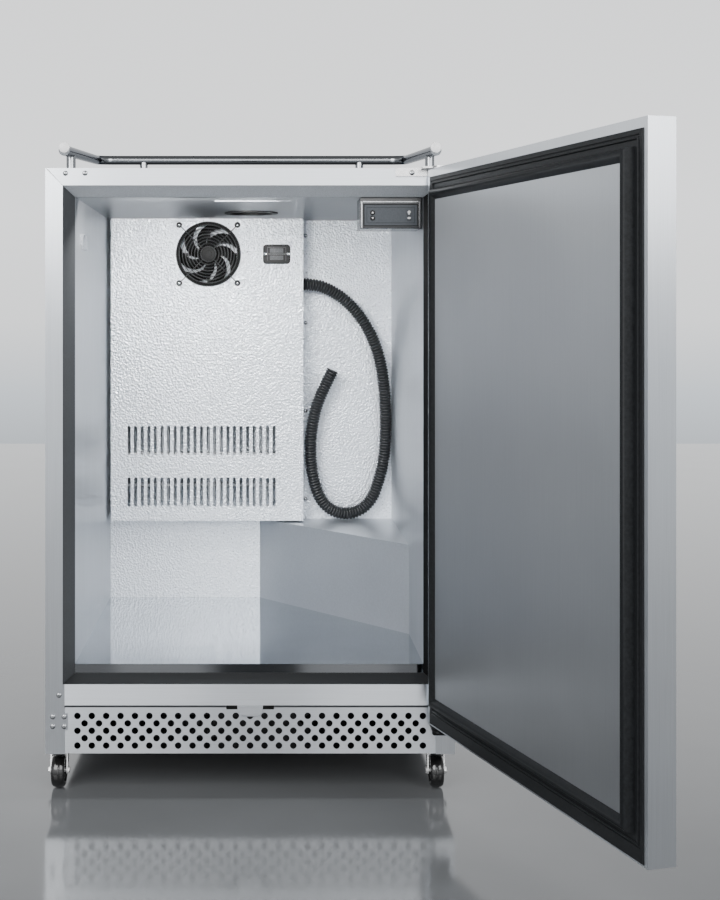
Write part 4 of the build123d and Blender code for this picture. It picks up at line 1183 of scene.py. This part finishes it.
# Height of a direction on the unit sphere, and how bright the studio is there.
STUDIO = [
    (-1.0, 0.14), (-0.28, 0.17), (-0.19, 0.23), (-0.12, 0.34), (-0.05, 0.64), (0.0, 0.88),
    (0.07, 1.0), (0.28, 0.94), (0.45, 0.32), (0.62, 0.2), (1.0, 0.12),
]
STUDIO_FRONT = 1.6
STUDIO_BACK = 1.5
STUDIO_SIDE = 0.45
# How blue the studio is below and above the horizon.
BLUE_BELOW = 0.07
BLUE_ABOVE = 0.015
# Leans towards the back, and towards either side, between which the brightness changes.
DEPTH_RANGE = (-0.2, 0.6)
SIDE_RANGE = (0.78, 0.96)


def make_world():
    """The studio around the object: brightest at eye height, dimmer to the back and sides."""
    world = bpy.data.worlds.new("studio")
    bpy.context.scene.world = world
    world.use_nodes = True
    tree = world.node_tree
    background = tree.nodes["Background"]
    place = tree.nodes.new("ShaderNodeTexCoord")
    split = tree.nodes.new("ShaderNodeSeparateXYZ")
    tree.links.new(place.outputs["Generated"], split.inputs[0])
    ramp = tree.nodes.new("ShaderNodeValToRGB")
    stops = ramp.color_ramp.elements
    while len(stops) < len(STUDIO):
        stops.new(0.5)
    for stop, (up, bright) in zip(stops, STUDIO):
        stop.position = (up + 1) / 2
        blue = BLUE_BELOW if up < 0 else BLUE_ABOVE
        stop.color = (bright * (1 - blue), bright, bright * (1 + blue), 1)
    tree.links.new(map_range(tree, split.outputs["Z"], (-1, 1), (0, 1)), ramp.inputs["Fac"])
    tree.links.new(ramp.outputs["Color"], background.inputs["Color"])
    lengthways = map_range(tree, split.outputs["Y"], DEPTH_RANGE, (STUDIO_FRONT, STUDIO_BACK))
    lean = maths(tree, "ABSOLUTE", split.outputs["X"])
    sideways = map_range(tree, lean, SIDE_RANGE, (1, STUDIO_SIDE))
    strength = maths(tree, "MULTIPLY", lengthways, sideways)
    tree.links.new(strength, background.inputs["Strength"])


# Corners of the card, in cabinet millimetres.
FLAG = ((-110, -2190, 0), (134, -2180, 640))


def make_flag():
    """A low black card seen only in reflections, which darkens the middle of the sill."""
    mesh = bmesh.new()
    slab(mesh, *FLAG)
    data = bpy.data.meshes.new("flag")
    mesh.to_mesh(data)
    mesh.free()
    data.materials.append(black_plastic)
    flag = bpy.data.objects.new("flag", data)
    flag.visible_camera = False
    flag.visible_diffuse = False
    flag.visible_shadow = False
    bpy.context.scene.collection.objects.link(flag)


# Place and aim in cabinet millimetres, size in metres and power of each lamp.
LAMPS = [
    ("key", (-1350, -2250, 1750), (-200, 0, 700), (1.7, 1.7), 74),
    ("fill", (1350, -2250, 1750), (200, 0, 700), (1.7, 1.7), 54),
    ("centre", (12, -2400, 1250), (12, 0, 1100), (0.8, 0.55), 5.5),
    ("cavity", (-90, 46, 874), (-60, 430, 520), (0.26, 0.07), 4.6),
    ("strip", (-285, -2200, 340), (-285, 0, 340), (0.27, 0.44), 0.5),
    ("strip", (285, -2200, 340), (285, 0, 340), (0.27, 0.44), 0.5),
]

make_floor()
make_world()
make_flag()
for name, place, aim, size, power in LAMPS:
    area_light(name, at(*place), at(*aim), size, power)
